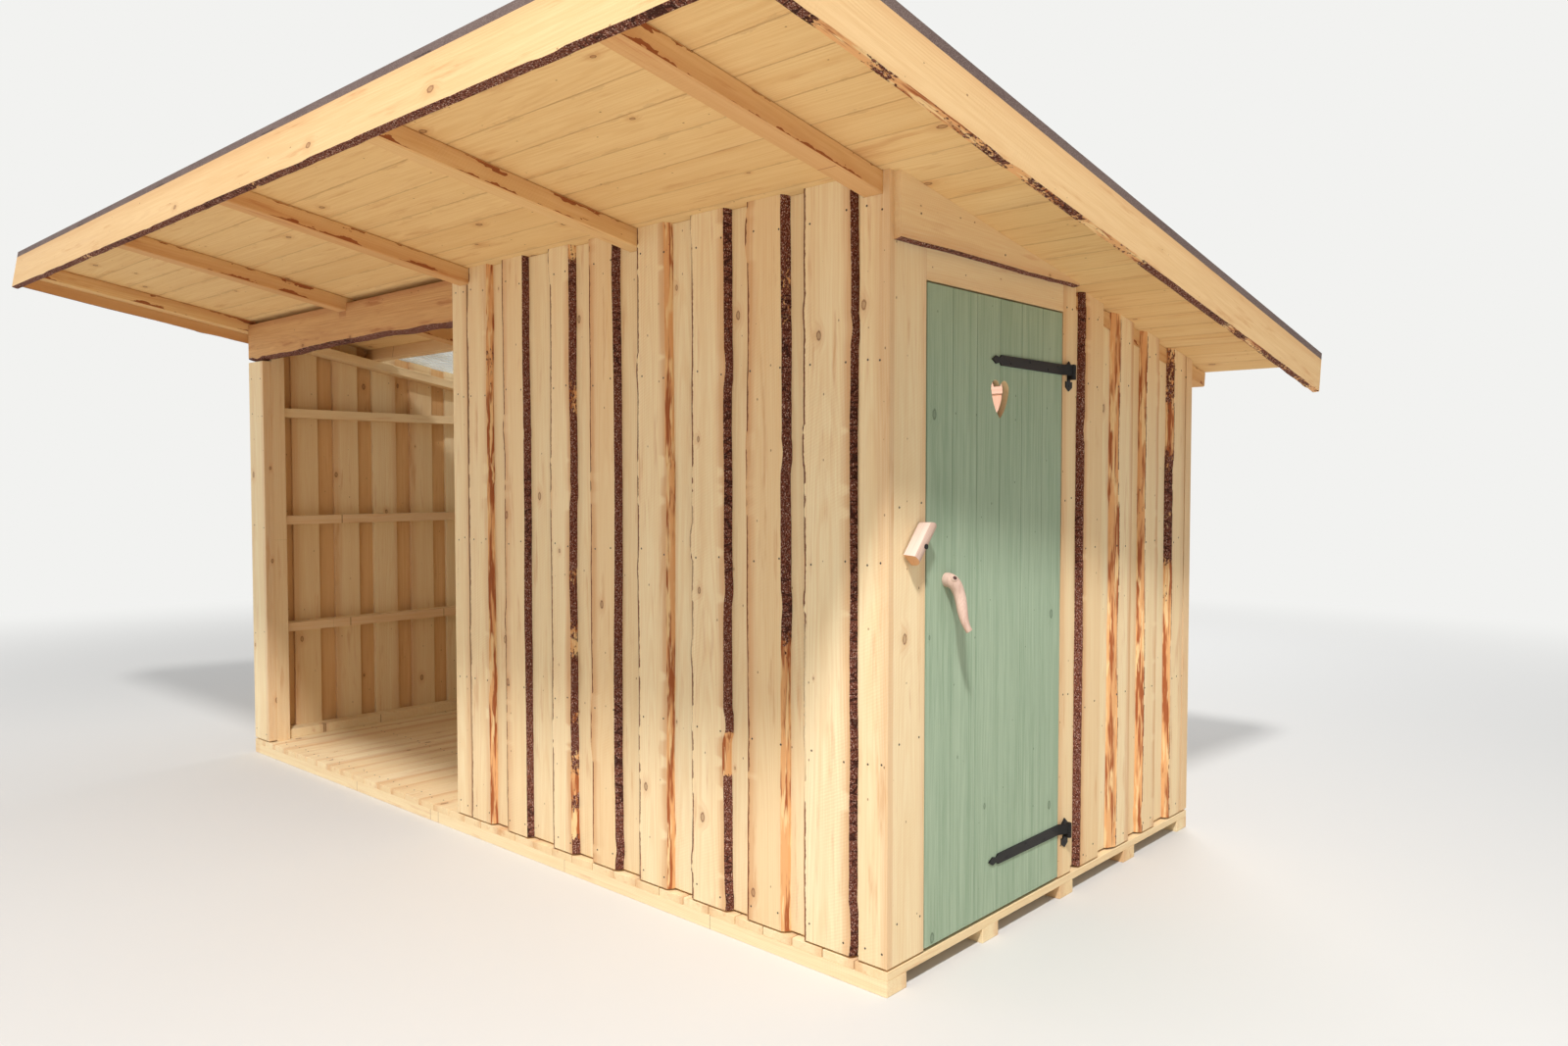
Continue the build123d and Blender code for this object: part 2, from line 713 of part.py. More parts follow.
# Screw and washer that hold the button off the casing
with BuildPart() as turn_button_screw:
    with BuildSketch(Plane.YZ.offset(x_right)):
        with Locations((button_y, button_z)):
            Circle(screw_washer_radius)
    extrude(amount=button_standoff - fit)
    with BuildSketch(Plane.YZ.offset(x_right)):
        with Locations((button_y, button_z)):
            Circle(screw_radius)
    extrude(amount=button_standoff + button_thickness + fit)
    with BuildSketch(Plane.YZ.offset(x_right + button_standoff + button_thickness + fit)):
        with Locations((button_y, button_z)):
            Circle(screw_head_radius)
    extrude(amount=screw_head_height)
turn_button_screw.part.label = "turn_button_screw"
export_step(turn_button_screw.part, "parts/turn_button_screw.step")

# Roof boards along the building: the front strip runs full length, the rest covers the room
board_left = roof_left + edge_board_thickness
board_right = roof_right - edge_board_thickness
sheet_edge = sheet_start / cos(slope)
sheet_right = rafter_centres[2]


def roof_board_rows(x_low, x_high, start, end):
    """Boards laid side by side down the slope, a joint apart."""
    count = round((end - start) / roof_board_pitch)
    step = (end - start) / count
    with BuildPart() as boards:
        with BuildSketch(roof):
            with Locations(((x_low + x_high) / 2, (start + end) / 2)):
                with GridLocations(1, step, 1, count):
                    Rectangle(x_high - x_low, step - roof_joint)
        extrude(amount=roof_board_thickness)
    return boards


front_roof_boards = roof_board_rows(board_left, board_right, rafter_start, sheet_edge)
front_roof_boards.part.label = "front_roof_boards"
export_step(front_roof_boards.part, "parts/front_roof_boards.step")

room_roof_boards = roof_board_rows(sheet_right + sheet_board_gap, board_right, sheet_edge, rear_edge)
room_roof_boards.part.label = "room_roof_boards"
export_step(room_roof_boards.part, "parts/room_roof_boards.step")

# Battens between the end wall, the left rafter and the partition, under the upper edge of the clear sheet
batten_stops = [rafter_centres[3] + side * rafter_width / 2 for side in (-1, 1)]
batten_spans = ((frame_left, batten_stops[0]), (batten_stops[1], x_partition - fit))
with BuildPart() as sheet_battens:
    with BuildSketch(roof.offset(-rafter_depth)):
        for left, right in batten_spans:
            with Locations(((left + right) / 2, sheet_edge)):
                Rectangle(right - left, batten_width)
    extrude(amount=rafter_depth)
sheet_battens.part.label = "sheet_battens"
export_step(sheet_battens.part, "parts/sheet_battens.step")

# Clear corrugated sheet over the rear of the bay, its waves running down the slope
wave_count = round((sheet_right - board_left) / sheet_pitch)
wave_step = (sheet_right - board_left) / wave_count
wave_points = []
for i in range(wave_count):
    x = board_left + i * wave_step
    wave_points += [(x, 0), (x + wave_step * 0.3, 0), (x + wave_step * 0.5, 1), (x + wave_step * 0.8, 1)]
wave_points.append((sheet_right, 0))
wave_rise = sheet_wave - sheet_thickness
sheet_origin = roof.from_local_coords((0, sheet_edge + sheet_end_gap, 0))
sheet_end = Plane(origin=sheet_origin, x_dir=(1, 0, 0), z_dir=-roof.y_dir)
with BuildPart() as rooflight_sheet:
    with BuildSketch(sheet_end):
        with BuildLine():
            lower = [(x, w * wave_rise + fit) for x, w in wave_points]
            upper = [(x, w * wave_rise + fit + sheet_thickness) for x, w in wave_points]
            Polyline(*lower, *reversed(upper), close=True)
        make_face()
    extrude(amount=-(rear_edge - sheet_edge - sheet_end_gap))
rooflight_sheet.part.label = "rooflight_sheet"
export_step(rooflight_sheet.part, "parts/rooflight_sheet.step")

# Mineral felt over the boards, with a felted strip along the front and both verges
with BuildPart() as roof_felt:
    with BuildSketch(roof.offset(roof_board_thickness)):
        with BuildLine():
            Polyline(
                (roof_left, eave),
                (roof_right, eave),
                (roof_right, rear_edge),
                (sheet_right + sheet_board_gap, rear_edge),
                (sheet_right + sheet_board_gap, sheet_edge),
                (roof_left, sheet_edge),
                close=True,
            )
        make_face()
    extrude(amount=felt_thickness)
roof_felt.part.label = "roof_felt"
export_step(roof_felt.part, "parts/roof_felt.step")

verge_strip_length = rear_edge - eave - edge_strip_width - roof_joint
left_strip_length = sheet_edge - eave - edge_strip_width - roof_joint
side_strip_start = eave + edge_strip_width + roof_joint
with BuildPart() as roof_edge_strips:
    with BuildSketch(roof.offset(roof_board_thickness + felt_thickness)):
        with Locations(((roof_left + roof_right) / 2, eave + edge_strip_width / 2)):
            Rectangle(roof_right - roof_left, edge_strip_width)
        with Locations((roof_right - edge_strip_width / 2, side_strip_start + verge_strip_length / 2)):
            Rectangle(edge_strip_width, verge_strip_length)
        with Locations((roof_left + edge_strip_width / 2, side_strip_start + left_strip_length / 2)):
            Rectangle(edge_strip_width, left_strip_length)
    extrude(amount=edge_strip_height)
roof_edge_strips.part.label = "roof_edge_strips"
export_step(roof_edge_strips.part, "parts/roof_edge_strips.step")

# Fascia along the front, and a verge board down each side
with BuildPart() as front_fascia:
    with BuildSketch(roof.offset(roof_board_thickness)):
        with Locations(((roof_left + roof_right) / 2, eave + edge_board_thickness / 2)):
            Rectangle(roof_right - roof_left, edge_board_thickness)
    extrude(amount=-fascia_depth)
front_fascia.part.label = "front_fascia"
export_step(front_fascia.part, "parts/front_fascia.step")

verge_length = rear_edge - rafter_start
with BuildPart() as right_verge_board:
    with BuildSketch(roof.offset(roof_board_thickness)):
        with Locations((roof_right - edge_board_thickness / 2, rafter_start + verge_length / 2)):
            Rectangle(edge_board_thickness, verge_length)
    extrude(amount=-verge_depth)
right_verge_board.part.label = "right_verge_board"
export_step(right_verge_board.part, "parts/right_verge_board.step")

with BuildPart() as left_verge_board:
    with BuildSketch(roof.offset(roof_board_thickness)):
        with Locations((roof_left + edge_board_thickness / 2, rafter_start + verge_length / 2)):
            Rectangle(edge_board_thickness, verge_length)
    extrude(amount=-verge_depth)
left_verge_board.part.label = "left_verge_board"
export_step(left_verge_board.part, "parts/left_verge_board.step")

print("door pin at", round(pin_x, 2), round(pin_y, 2))
print("button screw at", round(button_y, 2), round(button_z, 2))
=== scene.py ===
import json
import math
import random

import bmesh
import bpy
from mathutils import Matrix, Vector, noise
from mathutils.bvhtree import BVHTree

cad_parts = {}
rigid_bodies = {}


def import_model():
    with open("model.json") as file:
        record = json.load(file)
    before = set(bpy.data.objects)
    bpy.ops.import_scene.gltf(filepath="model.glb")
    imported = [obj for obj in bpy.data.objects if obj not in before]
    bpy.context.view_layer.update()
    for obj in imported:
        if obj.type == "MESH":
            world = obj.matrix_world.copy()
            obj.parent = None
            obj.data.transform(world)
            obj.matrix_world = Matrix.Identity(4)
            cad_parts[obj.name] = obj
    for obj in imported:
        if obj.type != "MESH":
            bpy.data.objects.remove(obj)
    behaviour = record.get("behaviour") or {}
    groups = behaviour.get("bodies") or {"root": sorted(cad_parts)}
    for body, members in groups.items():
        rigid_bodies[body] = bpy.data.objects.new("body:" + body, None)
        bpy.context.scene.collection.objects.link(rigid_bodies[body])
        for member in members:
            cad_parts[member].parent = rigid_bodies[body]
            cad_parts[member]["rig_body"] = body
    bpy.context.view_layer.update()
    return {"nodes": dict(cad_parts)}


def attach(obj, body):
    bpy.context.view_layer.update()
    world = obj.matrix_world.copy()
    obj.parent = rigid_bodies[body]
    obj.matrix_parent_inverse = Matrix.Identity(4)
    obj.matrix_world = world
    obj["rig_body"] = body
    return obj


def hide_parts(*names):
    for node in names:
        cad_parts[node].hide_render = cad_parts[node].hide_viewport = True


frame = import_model()

# Viewpoint: at eye height, off the corner between the front and the door's wall.
# The lens and the place come from the lines of the walls, the floor and the roof.
eye_place = (4.1286, -3.6543, 1.5179)
degrees_down, degrees_left = 2.1621, 42.2209
eye = bpy.data.cameras.new("eye")
eye.sensor_width = 36
eye.lens = 25.354
viewer = bpy.data.objects.new("viewer", eye)
viewer.location = eye_place
viewer.rotation_euler = (math.radians(90 - degrees_down), 0, math.radians(degrees_left))
bpy.context.scene.collection.objects.link(viewer)
bpy.context.scene.camera = viewer
bpy.context.scene.view_settings.view_transform = "Standard"

# Ground and light: a pale studio floor that fades into a pale backdrop, under soft lamps.
# The main lamp stands high to the front and right, so the eaves shade the upper walls, and a small
# one in the closed room shows through the heart.
backdrop_strength, floor_radius = 1.0, 60
fade_start, fade_end = 4.5, 11.0


def colour(red, green, blue):
    """A colour written as 0 to 255 for each of red, green and blue, as the shader wants it."""
    shares = [level / 255 for level in (red, green, blue)]
    linear = [((share + 0.055) / 1.055) ** 2.4 if share > 0.04 else share / 12.92 for share in shares]
    return (*linear, 1.0)


def new_material(name):
    """A new material with its Principled shader."""
    material = bpy.data.materials.new(name)
    material.use_nodes = True
    return material, material.node_tree.nodes["Principled BSDF"]


def add_node(tree, kind, settings=None, **inputs):
    """A node with its settings. Inputs are given by name or number, as a value or another node's socket."""
    node = tree.nodes.new(kind)
    for key, value in (settings or {}).items():
        setattr(node, key, value)
    for key, value in inputs.items():
        socket = node.inputs[int(key[1:]) if key[0] == "i" and key[1:].isdigit() else key.replace("_", " ")]
        if isinstance(value, bpy.types.NodeSocket):
            tree.links.new(value, socket)
        else:
            socket.default_value = value
    return node


def worked_out(tree, operation, first, second=0.0, clamp=False):
    """The result of one step of arithmetic on sockets or plain numbers."""
    settings = {"operation": operation, "use_clamp": clamp}
    return add_node(tree, "ShaderNodeMath", settings, i0=first, i1=second).outputs[0]


def times(tree, first, second):
    """Two values multiplied."""
    return worked_out(tree, "MULTIPLY", first, second)


def between(tree, value, low, high, to_low=0.0, to_high=1.0):
    """A smooth step from to_low to to_high as value goes from low to high."""
    return add_node(tree, "ShaderNodeMapRange", {"interpolation_type": "SMOOTHSTEP"},
                    i0=value, i1=low, i2=high, i3=to_low, i4=to_high).outputs[0]


def blend_colours(tree, amount, first, second):
    """Two colours mixed by an amount."""
    return add_node(tree, "ShaderNodeMix", {"data_type": "RGBA", "blend_type": "MIX"},
                    i0=amount, i6=first, i7=second).outputs[2]


def seen_directly(tree):
    """One on a ray that shows the backdrop itself: straight, in gloss or through the clear sheet."""
    rays = add_node(tree, "ShaderNodeLightPath").outputs
    shown = worked_out(tree, "MAXIMUM", rays["Is Camera Ray"], rays["Is Glossy Ray"])
    return worked_out(tree, "MAXIMUM", shown, rays["Is Transmission Ray"])


backdrop_colour = colour(242, 242, 240)
ground_paint, ground_shader = new_material("studio_floor")
ground_tree = ground_paint.node_tree
ground_seen = seen_directly(ground_tree)
ground_tint = blend_colours(ground_tree, ground_seen, colour(226, 219, 206), colour(216, 216, 215))
ground_tree.links.new(ground_tint, ground_shader.inputs["Base Color"])
ground_shader.inputs["Roughness"].default_value = 0.9
ground_place = add_node(ground_tree, "ShaderNodeTexCoord").outputs["Object"]
ground_reach = add_node(ground_tree, "ShaderNodeVectorMath", {"operation": "LENGTH"}, i0=ground_place)
ground_fade = between(ground_tree, ground_reach.outputs["Value"], fade_start, fade_end)
ground_haze = add_node(ground_tree, "ShaderNodeEmission", Color=backdrop_colour, Strength=backdrop_strength)
ground_mix = add_node(ground_tree, "ShaderNodeMixShader", i0=times(ground_tree, ground_fade, ground_seen),
                      i1=ground_shader.outputs[0], i2=ground_haze.outputs[0])
ground_tree.links.new(ground_mix.outputs[0], ground_tree.nodes["Material Output"].inputs["Surface"])
ground_mesh = bmesh.new()
bmesh.ops.create_circle(ground_mesh, cap_ends=True, segments=64, radius=floor_radius)
ground_data = bpy.data.meshes.new("studio_floor")
ground_mesh.to_mesh(ground_data)
ground_mesh.free()
ground = bpy.data.objects.new("studio_floor", ground_data)
ground_data.materials.append(ground_paint)
bpy.context.scene.collection.objects.link(ground)

sky = bpy.data.worlds.new("soft_sky")
sky.use_nodes = True
bpy.context.scene.world = sky
sky_tree = sky.node_tree
sky_tree.nodes.clear()
lit = add_node(sky_tree, "ShaderNodeBackground", Color=(1.0, 1.0, 1.0, 1.0), Strength=0.40)
shown = add_node(sky_tree, "ShaderNodeBackground", Color=backdrop_colour, Strength=backdrop_strength)
chosen = add_node(sky_tree, "ShaderNodeMixShader", i0=seen_directly(sky_tree), i1=lit.outputs[0],
                  i2=shown.outputs[0])
add_node(sky_tree, "ShaderNodeOutputWorld", Surface=chosen.outputs[0])

for lamp_name, place, aim, size, spread, power, tint in (
    ("key_lamp", (5.6, -5.8, 8.8), (0, 0, 1.2), 0.9, 180, 1090, (1.0, 0.985, 0.965)),
    ("fill_lamp", (-7.0, -6.0, 3.2), (0, 0, 1.2), 6.0, 180, 130, (1.0, 0.99, 0.98)),
    ("back_lamp", (-1.5, 7.5, 6.0), (0, 0, 1.2), 6.0, 180, 340, (0.98, 0.99, 1.0)),
    ("room_lamp", (1.1, -0.1, 1.8), (1.3, 1.0, 1.9), 0.2, 60, 1.4, (1.0, 0.76, 0.88)),
):
    lamp = bpy.data.lights.new(lamp_name, "AREA")
    lamp.shape = "DISK"
    lamp.size = size
    lamp.spread = math.radians(spread)
    lamp.energy = power
    lamp.color = tint
    lamp_holder = bpy.data.objects.new(lamp_name, lamp)
    lamp_holder.location = place
    lamp_holder.rotation_euler = (Vector(aim) - Vector(place)).to_track_quat("-Z", "Y").to_euler()
    bpy.context.scene.collection.objects.link(lamp_holder)

# Floor joists: five sawn timbers laid flat along the building, which carry everything else.
# Fresh spruce, straight from the saw: pale, with growth rings, knots, fibres and slanting saw marks.
upward, sideways, lengthwise = Vector((0, 0, 1)), Vector((0, 1, 0)), Vector((1, 0, 0))
ring_spacing, trunk_taper = 0.0052, 0.011
knot_size, pit_size, least_size = 0.052, 0.05, 0.0005
stain_reach, widest_sliver, joint_outer, joint_inner = 0.026, 0.017, 0.0036, 0.0012
crust_and_shade_outer, crust_and_shade_inner = 0.0126, 0.0098
saw_slant, saw_density = math.radians(24), 32.0
same_face, touching, neighbour_gap = 0.0006, 0.0005, 0.001
weld, flat_angle, corner_angle = 0.00002, 0.01, 0.5
heart_aside, heart_depths, trunk_length = 0.04, (0.04, 0.13), 40


def plus(tree, first, *others):
    """Values added up."""
    for other in others:
        first = worked_out(tree, "ADD", first, other)
    return first


def weighed(tree, first, *others):
    """Values added up, each given with its own weight."""
    return plus(tree, times(tree, *first), *[times(tree, *other) for other in others])


def stretched(tree, vector, factors):
    """A vector with each part multiplied by its own factor."""
    return add_node(tree, "ShaderNodeVectorMath", {"operation": "MULTIPLY"}, i0=vector, i1=factors).outputs[0]


def cloud(tree, vector, factors, detail=2.0, roughness=0.5):
    """Soft noise from 0 to 1 over a vector, with so many lumps to the metre along each axis."""
    return add_node(tree, "ShaderNodeTexNoise", {"noise_dimensions": "3D"}, Scale=1.0, Detail=detail,
                    Roughness=roughness, Vector=stretched(tree, vector, factors)).outputs["Fac"]


def new_group(name, vectors, values, results):
    """An effect that materials share: a node group, and the sockets that bring in its inputs."""
    group = bpy.data.node_groups.new(name, "ShaderNodeTree")
    for in_out, kind, labels in (("INPUT", "NodeSocketVector", vectors), ("INPUT", "NodeSocketFloat", values),
                                 ("OUTPUT", "NodeSocketFloat", results)):
        for label in labels:
            group.interface.new_socket(label, in_out=in_out, socket_type=kind)
    return group, add_node(group, "NodeGroupInput").outputs


grain_traits = ("Rings", "Streaks", "Knots", "Halo", "Edge tint", "Stains", "Joint", "Slivers", "Crust",
                "Tone", "Height")
grain_group, grain_in = new_group("sawn_grain", ("Place", "Edges"), ("Saw marks",), grain_traits)
grain_place = grain_in["Place"]
place_parts = add_node(grain_group, "ShaderNodeSeparateXYZ", i0=grain_place).outputs
edge_parts = add_node(grain_group, "ShaderNodeSeparateXYZ", i0=grain_in["Edges"]).outputs
low_edge, high_edge, board_tone = edge_parts[0], edge_parts[1], edge_parts[2]


def spots(across, along, rarest, largest):
    """Scattered round spots on a board's face: the distance from the nearest one, in its own radius."""
    flat = add_node(grain_group, "ShaderNodeCombineXYZ", i0=times(grain_group, place_parts[0], across),
                    i1=times(grain_group, place_parts[2], along))
    cells = add_node(grain_group, "ShaderNodeTexVoronoi", {"voronoi_dimensions": "2D", "feature": "F1"},
                     Vector=flat.outputs[0], Scale=1.0, Randomness=0.9)
    chance = add_node(grain_group, "ShaderNodeSeparateXYZ", i0=cells.outputs["Color"]).outputs[0]
    spot_size = between(grain_group, chance, rarest, 1.0, least_size, largest)
    return worked_out(grain_group, "DIVIDE", cells.outputs["Distance"], spot_size)


knot_near = spots(across=5.4, along=3.2, rarest=0.74, largest=knot_size)
pit_near = spots(across=17.0, along=11.0, rarest=0.80, largest=pit_size)
knot_swirl = between(grain_group, knot_near, 0.2, 4.5, 0.010, 0.0)
warp = cloud(grain_group, grain_place, (5, 5, 0.9), 3.0)
wander = times(grain_group, worked_out(grain_group, "SUBTRACT", warp, 0.5), 0.03)
trunk_section = add_node(grain_group, "ShaderNodeCombineXYZ", i0=place_parts[0], i1=place_parts[1]).outputs[0]
heart_far = add_node(grain_group, "ShaderNodeVectorMath", {"operation": "LENGTH"}, i0=trunk_section).outputs
radius = plus(grain_group, heart_far["Value"], wander, knot_swirl,
              times(grain_group, place_parts[2], trunk_taper))
ring_wave = worked_out(grain_group, "SINE", times(grain_group, radius, 2 * math.pi / ring_spacing))
rings = worked_out(grain_group, "POWER", between(grain_group, ring_wave, -1.0, 1.0), 2.2)
ring_fade = between(grain_group, cloud(grain_group, grain_place, (16, 16, 1.5)), 0.3, 0.75, 0.35, 1.0)
rings = times(grain_group, rings, ring_fade)
fibres = cloud(grain_group, grain_place, (420, 420, 9))
threads = cloud(grain_group, grain_place, (130, 130, 2.2), 2.0, 0.6)
broad = cloud(grain_group, grain_place, (26, 26, 0.9), 3.0, 0.6)
streaks = weighed(grain_group, (fibres, 0.30), (broad, 0.36), (threads, 0.34))
streaks = between(grain_group, streaks, 0.36, 0.66)

ragged_knot = times(grain_group, cloud(grain_group, grain_place, (150, 150, 150)), 0.5)
knot_rim = plus(grain_group, knot_near, ragged_knot)
knots = times(grain_group, between(grain_group, knot_rim, 1.5, 1.1),
              between(grain_group, knot_rim, 0.8, 1.15, 0.5, 1.0))
pits = between(grain_group, pit_near, 1.1, 0.7, 0.0, 0.8)
halo = between(grain_group, knot_near, 4.2, 0.8)

edge_noise = times(grain_group, cloud(grain_group, grain_place, (30, 30, 2.2), 3.0, 0.6), 0.05)
low_side = between(grain_group, plus(grain_group, low_edge, edge_noise), 0.078, stain_reach)
low_side = times(grain_group, low_side, between(grain_group, board_tone, 0.35, 0.75))
high_side = between(grain_group, plus(grain_group, high_edge, edge_noise), 0.070, stain_reach)
high_side = times(grain_group, high_side, between(grain_group, board_tone, 0.65, 0.25))
edge_tint = worked_out(grain_group, "MAXIMUM", low_side, high_side, clamp=True)
stains = between(grain_group, cloud(grain_group, grain_place, (24, 24, 2.6), 4.0, 0.62), 0.57, 0.72)

nearest_edge = worked_out(grain_group, "MINIMUM", low_edge, high_edge)
# A dark band along each board's edges: dirt in the joints and painted shade in the gaps between boards.
joint_dirt_and_shade = between(grain_group, nearest_edge, joint_outer, joint_inner)
on_face = worked_out(grain_group, "GREATER_THAN", nearest_edge, same_face)
sliver_cloud = cloud(grain_group, grain_place, (14, 14, 5.2), 4.0, 0.65)
sliver_width = between(grain_group, sliver_cloud, 0.49, 0.68, 0.0, widest_sliver)
slivers = times(grain_group, worked_out(grain_group, "LESS_THAN", nearest_edge, sliver_width), on_face)
# A thin dark line along each board's low edge: bark crumbs and painted shade of the gap to the board behind.
crumbs = times(grain_group, cloud(grain_group, grain_place, (120, 120, 46), 3.0, 0.7), 0.012)
crust_and_shade_line = between(grain_group, plus(grain_group, low_edge, crumbs), crust_and_shade_outer, crust_and_shade_inner)
crust_and_shade_fade = between(grain_group, cloud(grain_group, grain_place, (3, 3, 1.6)), 0.34, 0.50, 0.25, 1.0)
crust = times(grain_group, crust_and_shade_line, crust_and_shade_fade)

saw_place = add_node(grain_group, "ShaderNodeMapping", {"vector_type": "POINT"}, Vector=grain_place,
                     Rotation=(0, saw_slant, 0)).outputs[0]
saw_wave = add_node(grain_group, "ShaderNodeTexWave", {"wave_type": "BANDS", "bands_direction": "Z"},
                    Vector=saw_place, Scale=saw_density, Distortion=1.2, Detail=2.0,
                    Detail_Scale=2.0).outputs["Fac"]
saw_patch = between(grain_group, cloud(grain_group, grain_place, (3, 3, 1.3)), 0.44, 0.62)
saw_lines = times(grain_group, times(grain_group, saw_wave, saw_patch), grain_in["Saw marks"])
all_streaks = worked_out(grain_group, "ADD", streaks, times(grain_group, saw_lines, 0.30), clamp=True)
height = weighed(grain_group, (fibres, 0.6), (saw_lines, 0.6), (rings, 0.25), (pits, -0.8))
add_node(grain_group, "NodeGroupOutput", Rings=rings, Streaks=all_streaks,
         Knots=worked_out(grain_group, "MAXIMUM", knots, pits), Halo=halo, Edge_tint=edge_tint, Stains=stains,
         Joint=joint_dirt_and_shade, Slivers=slivers, Crust=crust, Tone=board_tone, Height=height)


def wood_material(name, pale, gold, warm, knot, rings=0.34, streaks=0.5, edge=0.35, stain=0.35, tone=0.50,
                  joints=0.0, slivers=0.0, crust=0.0, saw_marks=0.6, bump=0.5):
    """Sawn wood in its own colours, from the grain that each board carries with it."""
    material, shader = new_material(name)
    tree = material.node_tree
    place = add_node(tree, "ShaderNodeAttribute", {"attribute_name": "grain"}).outputs["Vector"]
    edges = add_node(tree, "ShaderNodeAttribute", {"attribute_name": "edges"}).outputs["Vector"]
    grain = add_node(tree, "ShaderNodeGroup", {"node_tree": grain_group}, Place=place, Edges=edges,
                     Saw_marks=saw_marks).outputs
    # The knot colour also paints the low-edge line: bark crumbs and painted shade of the gap behind.
    face = pale
    # The knot colour also paints the joint band: dirt and painted shade between the boards.
    for output, share, tint in (("Rings", rings, gold), ("Streaks", streaks, gold), ("Tone", tone, gold),
                                ("Stains", stain, warm), ("Edge tint", edge, warm), ("Halo", 0.25, warm),
                                ("Knots", 0.8, knot), ("Joint", joints, knot), ("Slivers", slivers, knot),
                                ("Crust", crust, knot)):
        if share:
            face = blend_colours(tree, times(tree, grain[output], share), face, tint)
    tree.links.new(face, shader.inputs["Base Color"])
    tree.links.new(between(tree, grain["Rings"], 0.0, 1.0, 0.78, 0.66), shader.inputs["Roughness"])
    bumps = add_node(tree, "ShaderNodeBump", Strength=bump, Distance=0.0012, Height=grain["Height"])
    tree.links.new(bumps.outputs[0], shader.inputs["Normal"])
    shader.inputs["Specular IOR Level"].default_value = 0.25
    return material


sawn_wood = wood_material("fresh_sawn_spruce", colour(249, 233, 196), colour(231, 195, 144),
                          colour(202, 134, 78), colour(120, 70, 40))


def reach(verts, axis):
    """How far a set of vertices goes along an axis, as its lowest and highest place."""
    places = [vert.co.dot(axis) for vert in verts]
    return min(places), max(places)


def board_copy(node):
    """A working copy of a node's boards, its loose triangles joined into whole faces."""
    work = bmesh.new()
    work.from_mesh(frame["nodes"][node].data)
    bmesh.ops.remove_doubles(work, verts=work.verts, dist=weld)
    bmesh.ops.dissolve_limit(work, angle_limit=flat_angle, verts=work.verts, edges=work.edges)
    return work


def single_boards(work, side):
    """The separate boards of a piece, each a list of its vertices, in order along side."""
    found, boards = set(), []
    for first in work.verts:
        if first in found:
            continue
        found.add(first)
        board = [first]
        for vert in board:
            for edge in vert.link_edges:
                other = edge.other_vert(vert)
                if other not in found:
                    found.add(other)
                    board.append(other)
        boards.append(board)
    boards.sort(key=lambda board: round(reach(board, side)[0], 4))
    return boards


def mark_grain(work, run, side, out, seed):
    """Gives each board its own heart, place along the trunk, distances from its edges and tone."""
    grain = work.verts.layers.float_vector.new("grain")
    edges = work.verts.layers.float_vector.new("edges")
    for number, board in enumerate(single_boards(work, side)):
        dice = random.Random(seed * 1000 + number)
        low, high = reach(board, side)
        face = reach(board, out)[1]
        aside = dice.uniform(-heart_aside, heart_aside)
        heart = ((low + high) / 2 + aside, face - dice.uniform(*heart_depths))
        trunk_start, tone = dice.uniform(0, trunk_length), dice.random()
        levels = {}
        for vert in board:
            if face - vert.co.dot(out) < same_face:
                levels.setdefault(round(vert.co.dot(run), 3), []).append(vert.co.dot(side))
        for vert in board:
            place = vert.co.dot(side)
            here = levels.get(round(vert.co.dot(run), 3), [low, high])
            spans_board = max(here) - min(here) > 0.6 * (high - low)
            near, far = (min(here), max(here)) if spans_board else (low, high)
            vert[grain] = (place - heart[0], vert.co.dot(out) - heart[1], vert.co.dot(run) + trunk_start)
            vert[edges] = (place - near, far - place, tone)


def new_piece(name, work, body, materials):
    """Puts a finished mesh in the scene, on the body that carries it."""
    data = bpy.data.meshes.new(name)
    work.to_mesh(data)
    work.free()
    piece = bpy.data.objects.new(name, data)
    for material in materials:
        data.materials.append(material)
    bpy.context.scene.collection.objects.link(piece)
    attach(piece, body)
    return piece


def finished_piece(name, work, node, materials):
    """Puts a finished mesh in the scene in place of its CAD node, on the same body."""
    piece = new_piece(name, work, frame["nodes"][node]["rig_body"], materials)
    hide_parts(node)
    return piece


def soften(work, width, segments=1):
    """Takes the sharpness off every edge of a piece."""
    corners = [edge for edge in work.edges
               if len(edge.link_faces) == 2 and edge.calc_face_angle(0) > corner_angle]
    bmesh.ops.bevel(work, geom=corners, offset=width, offset_type="OFFSET", segments=segments, profile=0.5,
                    affect="EDGES", material=-1, clamp_overlap=True)


def sawn_timber(node, run, side, out, seed, material=sawn_wood, arris=0.0015, swell=0.0):
    """Dresses a node of square-sawn boards or timbers: softened edges, grain of its own in each.
    Swell is how far each board's edges spread towards its neighbours."""
    work = board_copy(node)
    first, last = reach(work.verts, side)
    for board in single_boards(work, side) if swell else []:
        low, high = reach(board, side)
        for vert in board:
            place = vert.co.dot(side)
            if place - low < touching and low > first + neighbour_gap:
                vert.co -= side * swell
            elif high - place < touching and high < last - neighbour_gap:
                vert.co += side * swell
    soften(work, arris)
    mark_grain(work, run, side, out, seed)
    return finished_piece("sawn_" + node, work, node, [material])


sawn_timber("floor_joists", lengthwise, sideways, upward, 11)

# Floor boards: planks nailed across the joists from front to back, with a gap between them.
# They show under the cladding all round. Each nail is a small flat head, driven nearly flush.
joist_lines, bay_floor = (-1.03, -0.52, 0.0, 0.52), (-3, -0.1)
nail_steel, nail_shader = new_material("nail_steel")
nail_shader.inputs["Base Color"].default_value = colour(86, 74, 64)
nail_shader.inputs["Metallic"].default_value = 0.6
nail_shader.inputs["Roughness"].default_value = 0.5


